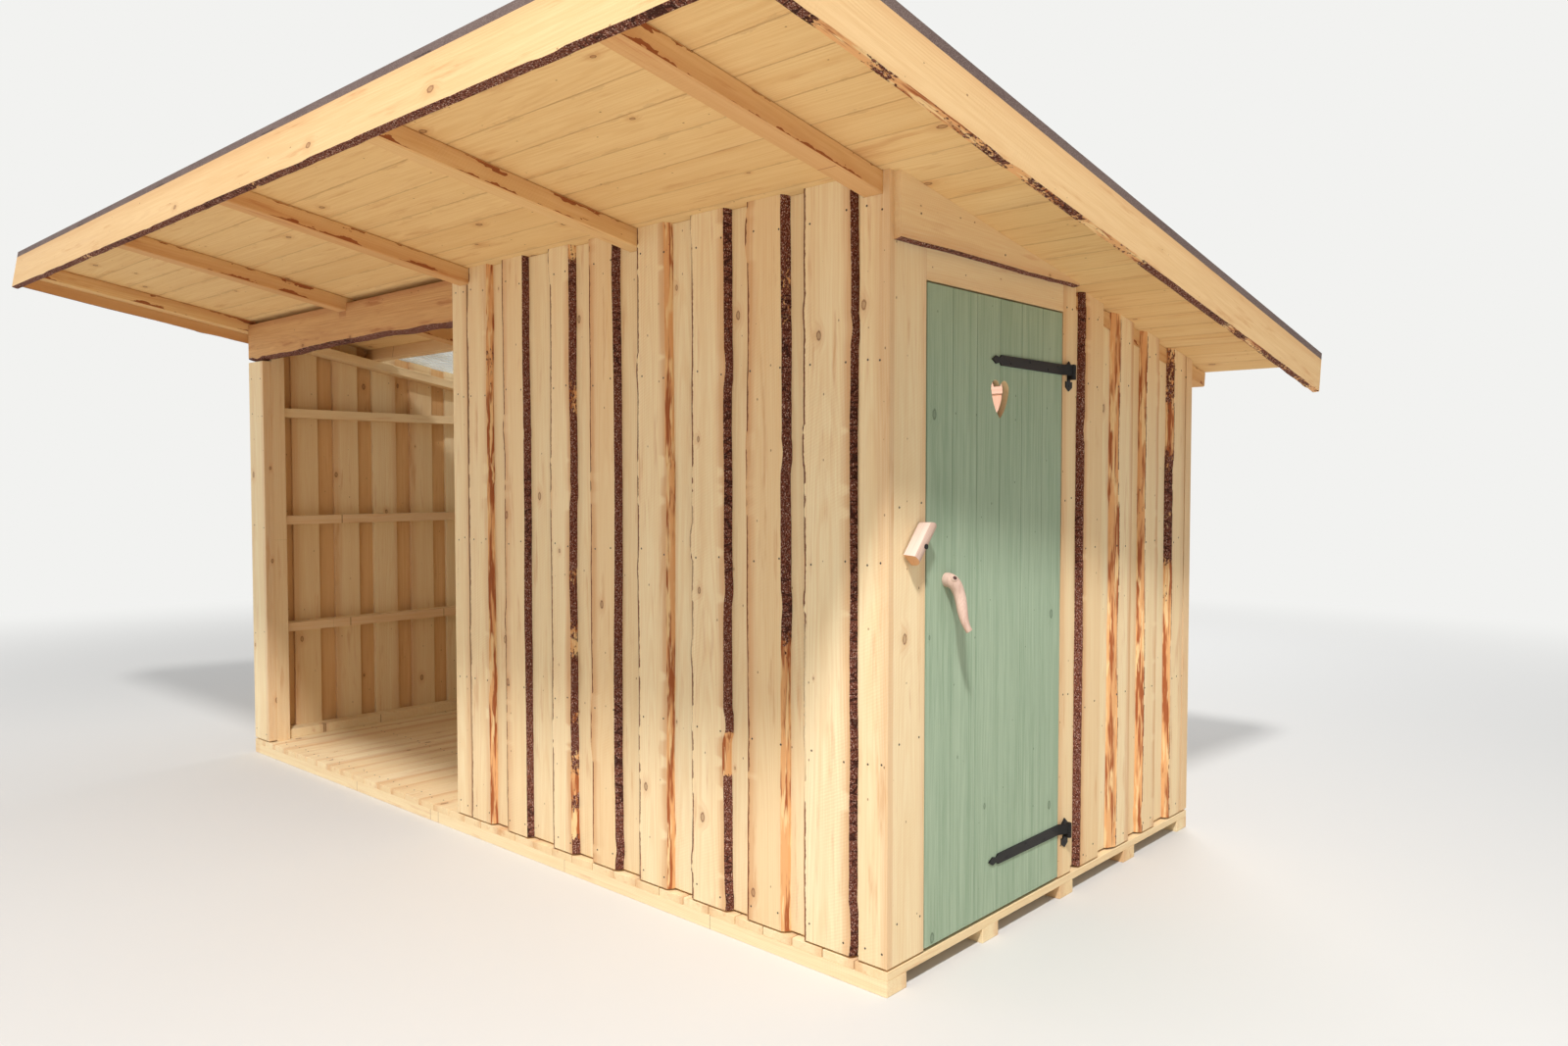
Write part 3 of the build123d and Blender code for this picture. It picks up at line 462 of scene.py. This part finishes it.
def round_heads(name, node, places, out, material=nail_steel, radius=0.0042, rise=0.0007, sides=8):
    """Low heads on the outer face of a node, wherever a line straight in along out meets it."""
    probe, crown = 0.2, 0.72
    solid = board_copy(node)
    faces = BVHTree.FromBMesh(solid)
    heads = bmesh.new()
    turn = out.to_track_quat("Z", "Y").to_matrix().to_4x4()
    for place in places:
        hit = faces.ray_cast(place + out * probe, -out, 2 * probe)[0]
        if hit is not None:
            bmesh.ops.create_cone(heads, cap_ends=True, segments=sides, radius1=radius,
                                  radius2=radius * crown, depth=2 * rise,
                                  matrix=Matrix.Translation(hit) @ turn)
    solid.free()
    new_piece(name, heads, frame["nodes"][node]["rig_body"], [material])


def nail_boards(name, node, run, side, out, levels, inset, seed, span=(-9, 9)):
    """Two nails across each board at each level, and below its upper end, all a little out of line.
    Span keeps to the boards that start within it."""
    below_end, least_step, stray_across, stray_along = 0.10, 0.15, 0.009, 0.012
    work = board_copy(node)
    places = []
    for number, board in enumerate(single_boards(work, side)):
        dice = random.Random(seed * 1000 + number)
        low, high = reach(board, side)
        if not span[0] < low < span[1]:
            continue
        top = reach(board, run)[1] - below_end
        for level in [level for level in levels if level < top - least_step] + [top]:
            for place in (low + inset, high - inset):
                place += dice.uniform(-stray_across, stray_across)
                at = level + dice.uniform(-stray_along, stray_along)
                places.append(run * at + side * place + out * reach(board, out)[1])
    work.free()
    round_heads(name, node, places, out)


sawn_timber("floor_boards", sideways, lengthwise, upward, 12)
nail_boards("floor_nails", "floor_boards", sideways, lengthwise, upward, joist_lines, inset=0.022, seed=13,
            span=bay_floor)

# Frame: posts, plates and rails of square-sawn timber, which the bay shows and the room hides.
# The rails in the bay also serve as narrow shelves.
slope = math.radians(9.6)
down_slope = Vector((0, math.cos(slope), -math.sin(slope)))
off_slope = Vector((0, math.sin(slope), math.cos(slope)))
for node, run, side, out, seed in (
    ("posts", upward, lengthwise, -sideways, 21),
    ("sole_plates", lengthwise, sideways, upward, 22),
    ("wall_plates", lengthwise, sideways, upward, 23),
    ("end_top_rails", down_slope, lengthwise, upward, 24),
    ("left_wall_rails", sideways, lengthwise, upward, 25),
    ("partition_rails", sideways, lengthwise, upward, 26),
    ("door_wall_rails", sideways, lengthwise, upward, 27),
    ("front_wall_rails", lengthwise, sideways, upward, 28),
    ("rear_wall_rails", lengthwise, sideways, upward, 29),
):
    sawn_timber(node, run, side, out, seed)

# Boards behind the gaps: the first layer of cladding, spaced boards nailed to the rails.
# Only the middle of each shows outside, between two waney boards.
for node, side, out, seed in (
    ("front_under_boards", lengthwise, -sideways, 31),
    ("left_under_boards", sideways, -lengthwise, 32),
    ("rear_under_boards", lengthwise, sideways, 33),
    ("partition_under_boards", sideways, -lengthwise, 34),
    ("door_wall_under_boards", sideways, lengthwise, 35),
    ("corner_packing", sideways, lengthwise, 36),
):
    sawn_timber(node, upward, side, out, seed)

# Waney front boards: the second layer, sawn through the trunk with the bark left along the edges.
# Each edge is bark, the bare orange skin under it, or patches of both.
hairline, bend_depths = 0.00001, (0.35, 0.7)
bark_group, bark_in = new_group("bark_and_bast", ("Place",), ("Cover",),
                                ("Bark", "Flakes", "Specks", "Cracks", "Stains", "Light", "Height"))
bark_place = bark_in["Place"]
ragged = cloud(bark_group, bark_place, (110, 110, 60), 3.0, 0.6)
ragged = times(bark_group, worked_out(bark_group, "SUBTRACT", ragged, 0.5), 0.7)
bark_mask = between(bark_group, plus(bark_group, bark_in["Cover"], ragged), 0.47, 0.53)
flakes = between(bark_group, cloud(bark_group, bark_place, (260, 260, 120), 4.0, 0.7), 0.40, 0.66)
specks = between(bark_group, cloud(bark_group, bark_place, (300, 300, 200), 2.0, 0.6), 0.57, 0.65)
crack_cells = add_node(bark_group, "ShaderNodeTexVoronoi", {"feature": "DISTANCE_TO_EDGE"},
                       Vector=stretched(bark_group, bark_place, (10, 10, 36)), Scale=1.0, Randomness=0.8)
crack_patch = between(bark_group, cloud(bark_group, bark_place, (2, 2, 1.3)), 0.46, 0.56)
cracks = times(bark_group, between(bark_group, crack_cells.outputs["Distance"], 0.07, 0.02), crack_patch)
bast_stains = between(bark_group, cloud(bark_group, bark_place, (54, 54, 4), 3.0, 0.6), 0.46, 0.60)
bast_light = between(bark_group, cloud(bark_group, bark_place, (70, 70, 6), 3.0, 0.55), 0.52, 0.62)
bark_relief = worked_out(bark_group, "SUBTRACT", times(bark_group, flakes, 0.5), cracks)
bark_height = times(bark_group, plus(bark_group, bark_relief, 1.2), bark_mask)
add_node(bark_group, "NodeGroupOutput", Bark=bark_mask, Flakes=flakes, Specks=specks, Cracks=cracks,
         Stains=bast_stains, Light=bast_light, Height=bark_height)

waney_edge, waney_shader = new_material("waney_edge")
waney_tree = waney_edge.node_tree
waney_place = add_node(waney_tree, "ShaderNodeAttribute", {"attribute_name": "grain"}).outputs["Vector"]
waney_cover = add_node(waney_tree, "ShaderNodeAttribute", {"attribute_name": "cover"}).outputs["Fac"]
waney = add_node(waney_tree, "ShaderNodeGroup", {"node_tree": bark_group}, Place=waney_place,
                 Cover=waney_cover).outputs
bast = blend_colours(waney_tree, waney["Stains"], colour(229, 174, 120), colour(166, 94, 54))
bast = blend_colours(waney_tree, waney["Light"], bast, colour(240, 206, 154))
rind = blend_colours(waney_tree, waney["Flakes"], colour(82, 38, 28), colour(150, 92, 74))
rind = blend_colours(waney_tree, waney["Specks"], rind, colour(214, 180, 166))
rind = blend_colours(waney_tree, times(waney_tree, waney["Cracks"], 0.8), rind, colour(52, 24, 18))
waney_tree.links.new(blend_colours(waney_tree, waney["Bark"], bast, rind), waney_shader.inputs["Base Color"])
waney_tree.links.new(between(waney_tree, waney["Bark"], 0, 1, 0.6, 0.92), waney_shader.inputs["Roughness"])
waney_bumps = add_node(waney_tree, "ShaderNodeBump", Strength=0.9, Distance=0.003, Height=waney["Height"])
waney_tree.links.new(waney_bumps.outputs[0], waney_shader.inputs["Normal"])
waney_shader.inputs["Specular IOR Level"].default_value = 0.2
# The boards' backs are darker wood: heartwood, with painted shade of the recess between the boards behind.
shaded_heart_side = wood_material("shaded_heart_side_spruce", colour(236, 198, 146), colour(214, 166, 112),
                           colour(192, 128, 76), colour(106, 60, 34))

# Each kind of edge is a row of stops: a place along the board, and how far bark covers the edge there.
edge_kinds = {
    "bark": ((0.0, 1.15),),
    "broken": ((0.50, 1.15), (0.56, -0.2), (0.66, -0.2), (0.70, 1.15)),
    "patchy": ((0.0, 0.55),),
    "crumbs": ((0.0, 0.78),),
    "flaking": ((0.0, 0.64),),
    "thinning": ((0.6, 0.05), (1.2, 0.42), (2.0, 0.60)),
    "fading": ((0.3, 0.15), (0.9, 0.42), (1.5, 0.75)),
    "bast": ((0.0, 0.08),),
}


def drift(along, trunk, trait):
    """Smooth chance around 0 along a board, its own for each trunk and each trait of its edge."""
    return noise.noise(Vector((along, trunk, trait)))


def bark_cover(kind, along, trunk):
    """How far the bark still covers a waney edge at a place along the board: bare at 0, whole at 1."""
    stops = edge_kinds[kind]
    level = stops[0][1]
    for (low, before), (high, after) in zip(stops, stops[1:]):
        if along > low:
            level = before + (after - before) * min(1.0, (along - low) / (high - low))
    swings = drift(along * 2.3, trunk * 7.31, 0.5) + 0.7 * drift(along * 9, trunk * 3.17, 4.2)
    return level + swings * (0.75 if kind == "patchy" else 0.38)


def edge_inset(along, share, trunk, width, level, wave):
    """How far a waney edge lies inside its board's full width, at a place along it and up its thickness."""
    long_bow, short_bow, roughness, knot_bulge = 0.008, 0.0035, 0.0011, 0.035
    margin, bark_thick = 0.004, 0.003
    bow = drift(along * 1.1, trunk, 9.1) * long_bow * wave
    bow += drift(along * 4.5, trunk, 3.3) * short_bow * wave
    ripple = drift(along * 24, trunk, share * 2) * roughness * wave
    knot = max(0.0, drift(along * 6.5, trunk + 5, 1.7) - 0.34) * knot_bulge * wave
    slant = width * share ** 1.7 * (1 + 0.4 * drift(along * 2.1, trunk, 6.6))
    lost_bark = bark_thick * min(1.0, max(0.0, 0.62 - level) * 4)
    return max(0.0, slant + bow + margin * wave + ripple + lost_bark - knot)


def slice_boards(work, run, side, out, step):
    """Cuts boards across at every step along run, and at two depths, so that their edges can bend."""
    start, stop = reach(work.verts, run)
    count = int((stop - start) / step)
    cuts = [(run * (start + (stop - start) * cut / count), run) for cut in range(1, count)]
    depths = {tuple(round(end, 4) for end in reach(board, out)) for board in single_boards(work, side)}
    cuts += [(out * (back + share * (face - back)), out) for back, face in sorted(depths)
             for share in bend_depths]
    for place, across in cuts:
        bmesh.ops.bisect_plane(work, geom=work.verts[:] + work.edges[:] + work.faces[:], dist=hairline,
                               plane_co=place, plane_no=across)
    work.normal_update()


def waney_boards(node, run, side, out, edges, seed, step=0.014, material=sawn_wood, wave=1.0, lip=0.0032,
                 sag=touching):
    """Dresses a row of boards whose edges follow the trunk. Edges give, for each board in order along
    side, the kind and width of its low edge and of its high edge, or None for a sawn one. Wave is how
    much an edge wanders, lip how round it is, and sag how far it bends away from its lowest place."""
    edge_slot, shaded_back_slot, squarely = 1, 2, -0.9
    work = board_copy(node)
    box = [reach(work.verts, axis) for axis in (lengthwise, sideways, upward)]
    slice_boards(work, run, side, out, step)
    cover = work.verts.layers.float.new("cover")
    lips = []
    for number, board in enumerate(single_boards(work, side)):
        low, high = reach(board, side)
        back, face = reach(board, out)
        for end, (kind, width) in enumerate(edges[number % len(edges)]):
            if kind is None:
                continue
            brink, inward = (low, 1) if end == 0 else (high, -1)
            faces = {near for vert in board if abs(vert.co.dot(side) - brink) < sag
                     for near in vert.link_faces if near.normal.dot(side) * inward < squarely}
            rim = {vert for near in faces for vert in near.verts}
            for near in faces:
                near.material_index = edge_slot
            lips += [edge for near in faces for edge in near.edges
                     if all(abs(vert.co.dot(out) - face) < touching for vert in edge.verts)
                     and any(other not in faces for other in edge.link_faces)]
            trunk = seed + number * 2.7 + end * 1.3
            for vert in rim:
                along = vert.co.dot(run)
                share = (vert.co.dot(out) - back) / (face - back)
                level = bark_cover(kind, along, trunk)
                vert.co += side * inward * edge_inset(along, share, trunk, width, level, wave)
                vert[cover] = level
    bmesh.ops.bevel(work, geom=list(dict.fromkeys(lips)), offset=lip, offset_type="OFFSET", segments=2,
                    profile=0.5, affect="EDGES", material=edge_slot, clamp_overlap=True)
    work.normal_update()
    for face in work.faces:
        # Faces on the boards' backs take the darker wood: heartwood and painted shade of the recess.
        if face.material_index == 0 and face.normal.dot(out) < squarely:
            face.material_index = shaded_back_slot
    for vert in work.verts:
        vert.co = Vector([min(max(c, low), high) for c, (low, high) in zip(vert.co, box)])
    mark_grain(work, run, side, out, seed)
    return finished_piece("waney_" + node, work, node, [material, waney_edge, shaded_heart_side])


# The dark line along its low edges is bark crumbs and painted shade of the gap to the board behind.
waney_wood = wood_material("waney_spruce", colour(250, 234, 197), colour(229, 190, 138), colour(200, 134, 80),
                           colour(108, 54, 30), streaks=0.45, edge=0.55, stain=0.4, tone=0.5, crust=0.95,
                           saw_marks=0.8)
front_edges = (
    (("crumbs", 0.002), ("bast", 0.014)),
    (("crumbs", 0.003), ("bark", 0.012)),
    (("crumbs", 0.003), ("patchy", 0.014)),
    (("bast", 0.002), ("bark", 0.014)),
    (("crumbs", 0.002), ("bast", 0.016)),
    (("crumbs", 0.004), ("broken", 0.013)),
    (("bast", 0.002), ("fading", 0.018)),
    (("fading", 0.003), ("bark", 0.010)),
)
rail_lines, nail_inset = (0.13, 0.68, 1.27, 1.88), 0.034
waney_boards("front_over_boards", upward, lengthwise, -sideways, front_edges, 41, material=waney_wood)
nail_boards("front_board_nails", "front_over_boards", upward, lengthwise, -sideways, rail_lines, nail_inset,
            seed=41)

# Other waney walls: the left, rear and inner ones repeat the front's boards.
# Five pairs of edges take turns along each wall, some with bark and some bare.
mixed_edges = (
    (("bark", 0.008), ("bast", 0.010)),
    (("bast", 0.012), ("bark", 0.006)),
    (("patchy", 0.010), ("patchy", 0.012)),
    (("bark", 0.006), ("bark", 0.010)),
    (("bast", 0.009), ("patchy", 0.008)),
)
coarse_step = 0.025
for wall, side, out, seed in (("left", sideways, -lengthwise, 42), ("rear", lengthwise, sideways, 43),
                              ("partition", sideways, -lengthwise, 44)):
    waney_boards(wall + "_over_boards", upward, side, out, mixed_edges, seed, coarse_step, waney_wood)
    nail_boards(wall + "_board_nails", wall + "_over_boards", upward, side, out, rail_lines, nail_inset, seed)

# Door wall: four boards with broad waney edges towards the door, where the skin under the bark shows.
# The first one's edge is solid dark bark beside the casing. Casings and corner boards are sawn square.
door_wall_edges = (
    (("bark", 0.010), (None, 0)),
    (("bast", 0.040), (None, 0)),
    (("bast", 0.016), ("bast", 0.004)),
    (("thinning", 0.022), (None, 0)),
)
casing_lines = (0.2, 0.75, 1.45)
waney_boards("door_wall_over_boards", upward, sideways, lengthwise, door_wall_edges, 45, material=waney_wood)
nail_boards("door_wall_nails", "door_wall_over_boards", upward, sideways, lengthwise, rail_lines,
            inset=0.045, seed=45)
sawn_timber("door_casings", upward, sideways, lengthwise, 46)
sawn_timber("door_head_casing", sideways, upward, lengthwise, 47)
sawn_timber("door_lining", upward, sideways, lengthwise, 48)
sawn_timber("corner_boards", upward, lengthwise, -sideways, 49)
nail_boards("casing_nails", "door_casings", upward, sideways, lengthwise, casing_lines, inset=0.024, seed=46)
nail_boards("corner_nails", "corner_boards", upward, lengthwise, -sideways, rail_lines, inset=0.028, seed=49)

# Frieze board: one waney board cut to a point under the slope, nailed over the casings.
# Its lower edge keeps its bark.
casing_face = 2.2
frieze_places = ((-0.98, 2.20), (-0.97, 2.30), (-0.55, 2.19), (-0.50, 2.25), (0.0, 2.19))
frieze_nails = [Vector((casing_face, y, z)) for y, z in frieze_places]
waney_boards("frieze_board", sideways, upward, lengthwise, ((("bark", 0.003), (None, 0)),), 51, wave=0.6,
             lip=0.0018)
round_heads("frieze_nails", "frieze_board", frieze_nails, lengthwise)

# Beam over the bay: a thick waney plank, notched round the rafter.
# Its lower edge keeps its bark and runs in slow waves.
# The beam's wood is darker than the walls': painted shade of the roof over the bay.
shaded_beam_wood = wood_material("shaded_beam_spruce", colour(222, 180, 126), colour(188, 134, 84), colour(160, 92, 52),
                          colour(104, 54, 32), stain=0.6, edge=0.5, streaks=0.6, bump=1.0)
waney_boards("bay_beam", lengthwise, upward, -sideways, ((("bark", 0.010), (None, 0)),), 52,
             material=shaded_beam_wood, wave=1.8, lip=0.006, sag=0.018)

# Roof: rafters down the slope, with scraps of bark on their lower edges, and boards laid across them.
# The underside of the boards shows over the front and the side.
# The roof boards' joints carry a dark band: dirt and painted shade between the boards.
roof_wood = wood_material("roof_spruce", colour(238, 206, 152), colour(216, 170, 110), colour(188, 116, 62),
                          colour(122, 68, 38), joints=0.16, slivers=0.12, tone=0.22, edge=0.06, streaks=0.4)
rafter_wood = wood_material("rafter_spruce", colour(240, 208, 156), colour(214, 166, 108),
                            colour(188, 112, 60), colour(150, 76, 38), slivers=0.9, stain=0.55, edge=0.3)
sawn_timber("rafters", down_slope, off_slope, lengthwise, 61, rafter_wood, arris=0.004)
for node, seed in (("front_roof_boards", 62), ("room_roof_boards", 63)):
    sawn_timber(node, lengthwise, down_slope, -off_slope, seed, roof_wood, arris=0.0005, swell=0.00095)
sawn_timber("sheet_battens", lengthwise, down_slope, off_slope, 64)

# Edge boards: a fascia along the front and a verge board down each side, with bark below.
# They stand on edge against the rafters' ends and the roof boards' ends.
edge_wood = wood_material("edge_board_spruce", colour(237, 204, 154), colour(216, 172, 118),
                          colour(192, 126, 72), colour(112, 64, 38), stain=0.5, saw_marks=0.9)
for node, run, out, kind, seed in (("front_fascia", lengthwise, -down_slope, "crumbs", 65),
                                   ("right_verge_board", down_slope, lengthwise, "flaking", 66),
                                   ("left_verge_board", down_slope, -lengthwise, "flaking", 67)):
    waney_boards(node, run, off_slope, out, (((kind, 0.003), (None, 0)),), seed, material=edge_wood,
                 wave=0.45, lip=0.0016)

# Roof covering: mineral felt in strips down the roof, turned over a batten along the front and the sides.
# Dark purplish grey, with a fine grit. Each strip laps the next, under a row of wide flat nails.
lap_lines, lap_width, lap_rise = (-1.36, -0.42, 0.52, 1.46), 0.08, 0.0025
nail_spacing, first_nail, end_nail, nail_rise = 0.1, -10, 24, 0.001
front_wall_y, roof_over_wall, clearance = -1.09, 2.411, 0.03
felt, felt_shader = new_material("mineral_felt")
felt_tree = felt.node_tree
felt_place = add_node(felt_tree, "ShaderNodeTexCoord").outputs["Object"]
grit = cloud(felt_tree, felt_place, (620, 620, 620), 2.0, 0.7)
pale_grit = between(felt_tree, grit, 0.48, 0.68)
weather = between(felt_tree, cloud(felt_tree, felt_place, (7, 1.1, 7), 5.0, 0.7), 0.30, 0.72)
felt_colour = blend_colours(felt_tree, weather, colour(88, 69, 65), colour(104, 86, 81))
felt_colour = blend_colours(felt_tree, pale_grit, felt_colour, colour(144, 127, 120))
felt_tree.links.new(felt_colour, felt_shader.inputs["Base Color"])
felt_shader.inputs["Roughness"].default_value = 0.95
felt_bumps = add_node(felt_tree, "ShaderNodeBump", Strength=0.5, Distance=0.001, Height=grit)
felt_tree.links.new(felt_bumps.outputs[0], felt_shader.inputs["Normal"])


def paint_node(node, material):
    """Gives a CAD node that stays in the scene its material."""
    frame["nodes"][node].data.materials.clear()
    frame["nodes"][node].data.materials.append(material)


def above_roof(across, down):
    """A point just above the roof, down metres down its slope from over the front wall's face."""
    return Vector((across, front_wall_y, roof_over_wall)) + down_slope * down + off_slope * clearance


paint_node("roof_felt", felt)
paint_node("roof_edge_strips", felt)
laps = bmesh.new()
for lap_line in lap_lines:
    strip = board_copy("roof_felt")
    for place, outward in ((lap_line, -lengthwise), (lap_line + lap_width, lengthwise)):
        cut = bmesh.ops.bisect_plane(strip, geom=strip.verts[:] + strip.edges[:] + strip.faces[:],
                                     dist=hairline, plane_co=lengthwise * place, plane_no=outward,
                                     clear_outer=True)
        rim = [edge for edge in cut["geom_cut"] if isinstance(edge, bmesh.types.BMEdge)]
        bmesh.ops.contextual_create(strip, geom=rim)
    bmesh.ops.translate(strip, verts=strip.verts, vec=off_slope * lap_rise)
    lap_mesh = bpy.data.meshes.new("lap")
    strip.to_mesh(lap_mesh)
    strip.free()
    laps.from_mesh(lap_mesh)
    bpy.data.meshes.remove(lap_mesh)
new_piece("felt_laps", laps, "cabin", [felt])
lap_nails = [above_roof(lap_line + lap_width / 4, nail * nail_spacing) for lap_line in lap_lines
             for nail in range(first_nail, end_nail)]
round_heads("felt_nails", "roof_felt", lap_nails, off_slope, radius=0.007, rise=lap_rise + nail_rise)

# Clear sheet: thin corrugated plastic over the rear of the bay, milky with use, which lets daylight in.
# Screws with washers hold it through the crests, along its front edge and over the rear wall.
wave_length, crest_share, every_third, screwed_lines = 0.076, 0.65, 3, (0.718, 2.16)
clear, clear_shader = new_material("clear_sheet")
clear_tree = clear.node_tree
clear_place = add_node(clear_tree, "ShaderNodeTexCoord").outputs["Object"]
dust = between(clear_tree, cloud(clear_tree, clear_place, (3, 3, 3), 4.0, 0.6), 0.35, 0.75)
clear_tree.links.new(blend_colours(clear_tree, dust, colour(226, 234, 232), colour(206, 206, 194)),
                     clear_shader.inputs["Base Color"])
clear_tree.links.new(between(clear_tree, dust, 0, 1, 0.32, 0.5), clear_shader.inputs["Alpha"])
clear_shader.inputs["Roughness"].default_value = 0.18
paint_node("rooflight_sheet", clear)
sheet_low, sheet_high = reach(frame["nodes"]["rooflight_sheet"].data.vertices, lengthwise)
crests = round((sheet_high - sheet_low) / wave_length)
crest_gap = (sheet_high - sheet_low) / crests
sheet_screws = [above_roof(sheet_low + (crest + crest_share) * crest_gap, down)
                for crest in range(1, crests, every_third) for down in screwed_lines]
round_heads("sheet_screws", "rooflight_sheet", sheet_screws, off_slope, radius=0.009, rise=0.002, sides=12)

# Door: upright boards on three ledges, brushed with one thin coat of green that shows the grain.
# The heart is cut right through, and its edge shows the bare wood.
heart_y, heart_z = (-0.57, -0.40), (1.70, 1.87)
# The joints between its boards carry a dark band: dirt and painted shade between the boards.
green_door = wood_material("green_paint", colour(176, 194, 170), colour(132, 156, 130), colour(142, 162, 138),
                           colour(90, 106, 88), rings=0.25, streaks=0.7, edge=0.08, stain=0.3, tone=0.10,
                           joints=0.16, saw_marks=0.15, bump=0.8)
door_front = sawn_timber("door_leaf", upward, sideways, lengthwise, 71, green_door,
                         arris=0.0022)
door_front.data.materials.append(sawn_wood)
for face in door_front.data.polygons:
    in_heart = heart_y[0] < face.center.y < heart_y[1] and heart_z[0] < face.center.z < heart_z[1]
    if in_heart and abs(face.normal.x) < 0.3:
        face.material_index = 1
sawn_timber("door_ledges", sideways, upward, -lengthwise, 72)

# Iron: two long strap hinges and their pintles, and the button's screw, all painted matt black.
# The paint is slightly pitted, and a little paler in places.
hinge_levels, pin_y, leaf_face = (0.261, 1.914), -0.024, 2.21
strap_holes = ((0.085, 0.008), (0.150, -0.008), (0.275, 0.007), (0.400, -0.007))
plate_holes = (0.024, -0.055)
black_iron, iron_shader = new_material("black_iron")
iron_tree = black_iron.node_tree
iron_place = add_node(iron_tree, "ShaderNodeTexCoord").outputs["Object"]
paint_pits = cloud(iron_tree, iron_place, (260, 260, 260), 3.0)
iron_colour = blend_colours(iron_tree, between(iron_tree, paint_pits, 0.4, 0.7), colour(13, 12, 12),
                            colour(34, 31, 28))
iron_tree.links.new(iron_colour, iron_shader.inputs["Base Color"])
iron_shader.inputs["Specular IOR Level"].default_value = 0.3
iron_tree.links.new(between(iron_tree, paint_pits, 0.3, 0.7, 0.42, 0.6), iron_shader.inputs["Roughness"])
iron_bumps = add_node(iron_tree, "ShaderNodeBump", Strength=0.35, Distance=0.0006, Height=paint_pits)
iron_tree.links.new(iron_bumps.outputs[0], iron_shader.inputs["Normal"])
for node in ("hinge_straps", "hinge_pintles", "turn_button_screw"):
    paint_node(node, black_iron)
strap_screws = [Vector((leaf_face, pin_y - back, level + rise)) for level in hinge_levels
                for back, rise in strap_holes]
round_heads("strap_screws", "hinge_straps", strap_screws, lengthwise, black_iron, radius=0.0052, rise=0.0016,
            sides=12)
plate_screws = [Vector((leaf_face, pin_y, level + rise)) for level in hinge_levels for rise in plate_holes]
round_heads("plate_screws", "hinge_pintles", plate_screws, lengthwise, black_iron, radius=0.0045, rise=0.0014,
            sides=12)

# Handle: a crooked branch, peeled, thick where it meets the door and thinner towards its free end.
# Pale with a little pink in it, with the dark stub of a twig at the elbow.
twig_place, twig_out = Vector((2.249, -0.804, 1.2215)), Vector((0.72, -0.46, 0.53)).normalized()
facing = 0.85
peeled = wood_material("peeled_branch", colour(220, 196, 182), colour(184, 148, 132), colour(158, 112, 92),
                       colour(92, 58, 44), rings=0.2, streaks=0.7, edge=0.0, stain=0.55, saw_marks=0.0,
                       bump=0.7)
cut_end = wood_material("cut_end", colour(222, 176, 132), colour(196, 140, 98), colour(176, 112, 72),
                        colour(92, 58, 44), rings=0.7, streaks=0.2, edge=0.0, saw_marks=0.0, bump=0.3)
dark_knot, knot_shader = new_material("dark_knot")
knot_shader.inputs["Base Color"].default_value = colour(74, 48, 42)
knot_shader.inputs["Roughness"].default_value = 0.8


def rounded_stem(node, run, side, out, seed, materials, chooser):
    """Dresses a branch: rounded ends, smooth round sides, and on each face the material chooser names."""
    rounding, crease_angle = 0.003, 0.7
    work = board_copy(node)
    soften(work, rounding, 3)
    mark_grain(work, run, side, out, seed)
    work.normal_update()
    for face in work.faces:
        face.smooth = True
        face.material_index = chooser(face)
    stem = finished_piece("peeled_" + node, work, node, materials)
    stem.data.set_sharp_from_angle(angle=crease_angle)


rounded_stem("door_handle", upward, sideways, lengthwise, 81, [peeled, cut_end],
             lambda face: 1 if face.normal.z < -facing else 0)
round_heads("handle_twig", "door_handle", [twig_place], twig_out, peeled, radius=0.0125, rise=0.0035,
            sides=16)
round_heads("handle_knot", "door_handle", [twig_place], twig_out, dark_knot, radius=0.0088, rise=0.0042,
            sides=16)

# Turn button: half of a split branch on one screw, with a flat pale split face above.
# The end towards the door is rounded, and the other is sawn off.
button_tilt = math.radians(50)
button_along = Vector((0, math.cos(button_tilt), math.sin(button_tilt)))
button_up = Vector((0, -math.sin(button_tilt), math.cos(button_tilt)))
split_face = wood_material("split_face", colour(236, 218, 206), colour(212, 184, 170), colour(190, 150, 130),
                           colour(120, 80, 60), rings=0.3, streaks=0.5, edge=0.0, stain=0.2, saw_marks=0.0,
                           bump=0.4)


def button_material(face):
    """The sawn end, the split face above, or the peeled round."""
    if face.normal.dot(button_along) < -facing:
        return 1
    return 2 if face.normal.dot(button_up) > facing else 0


rounded_stem("turn_button", button_along, button_up, lengthwise, 82, [peeled, cut_end, split_face],
             button_material)
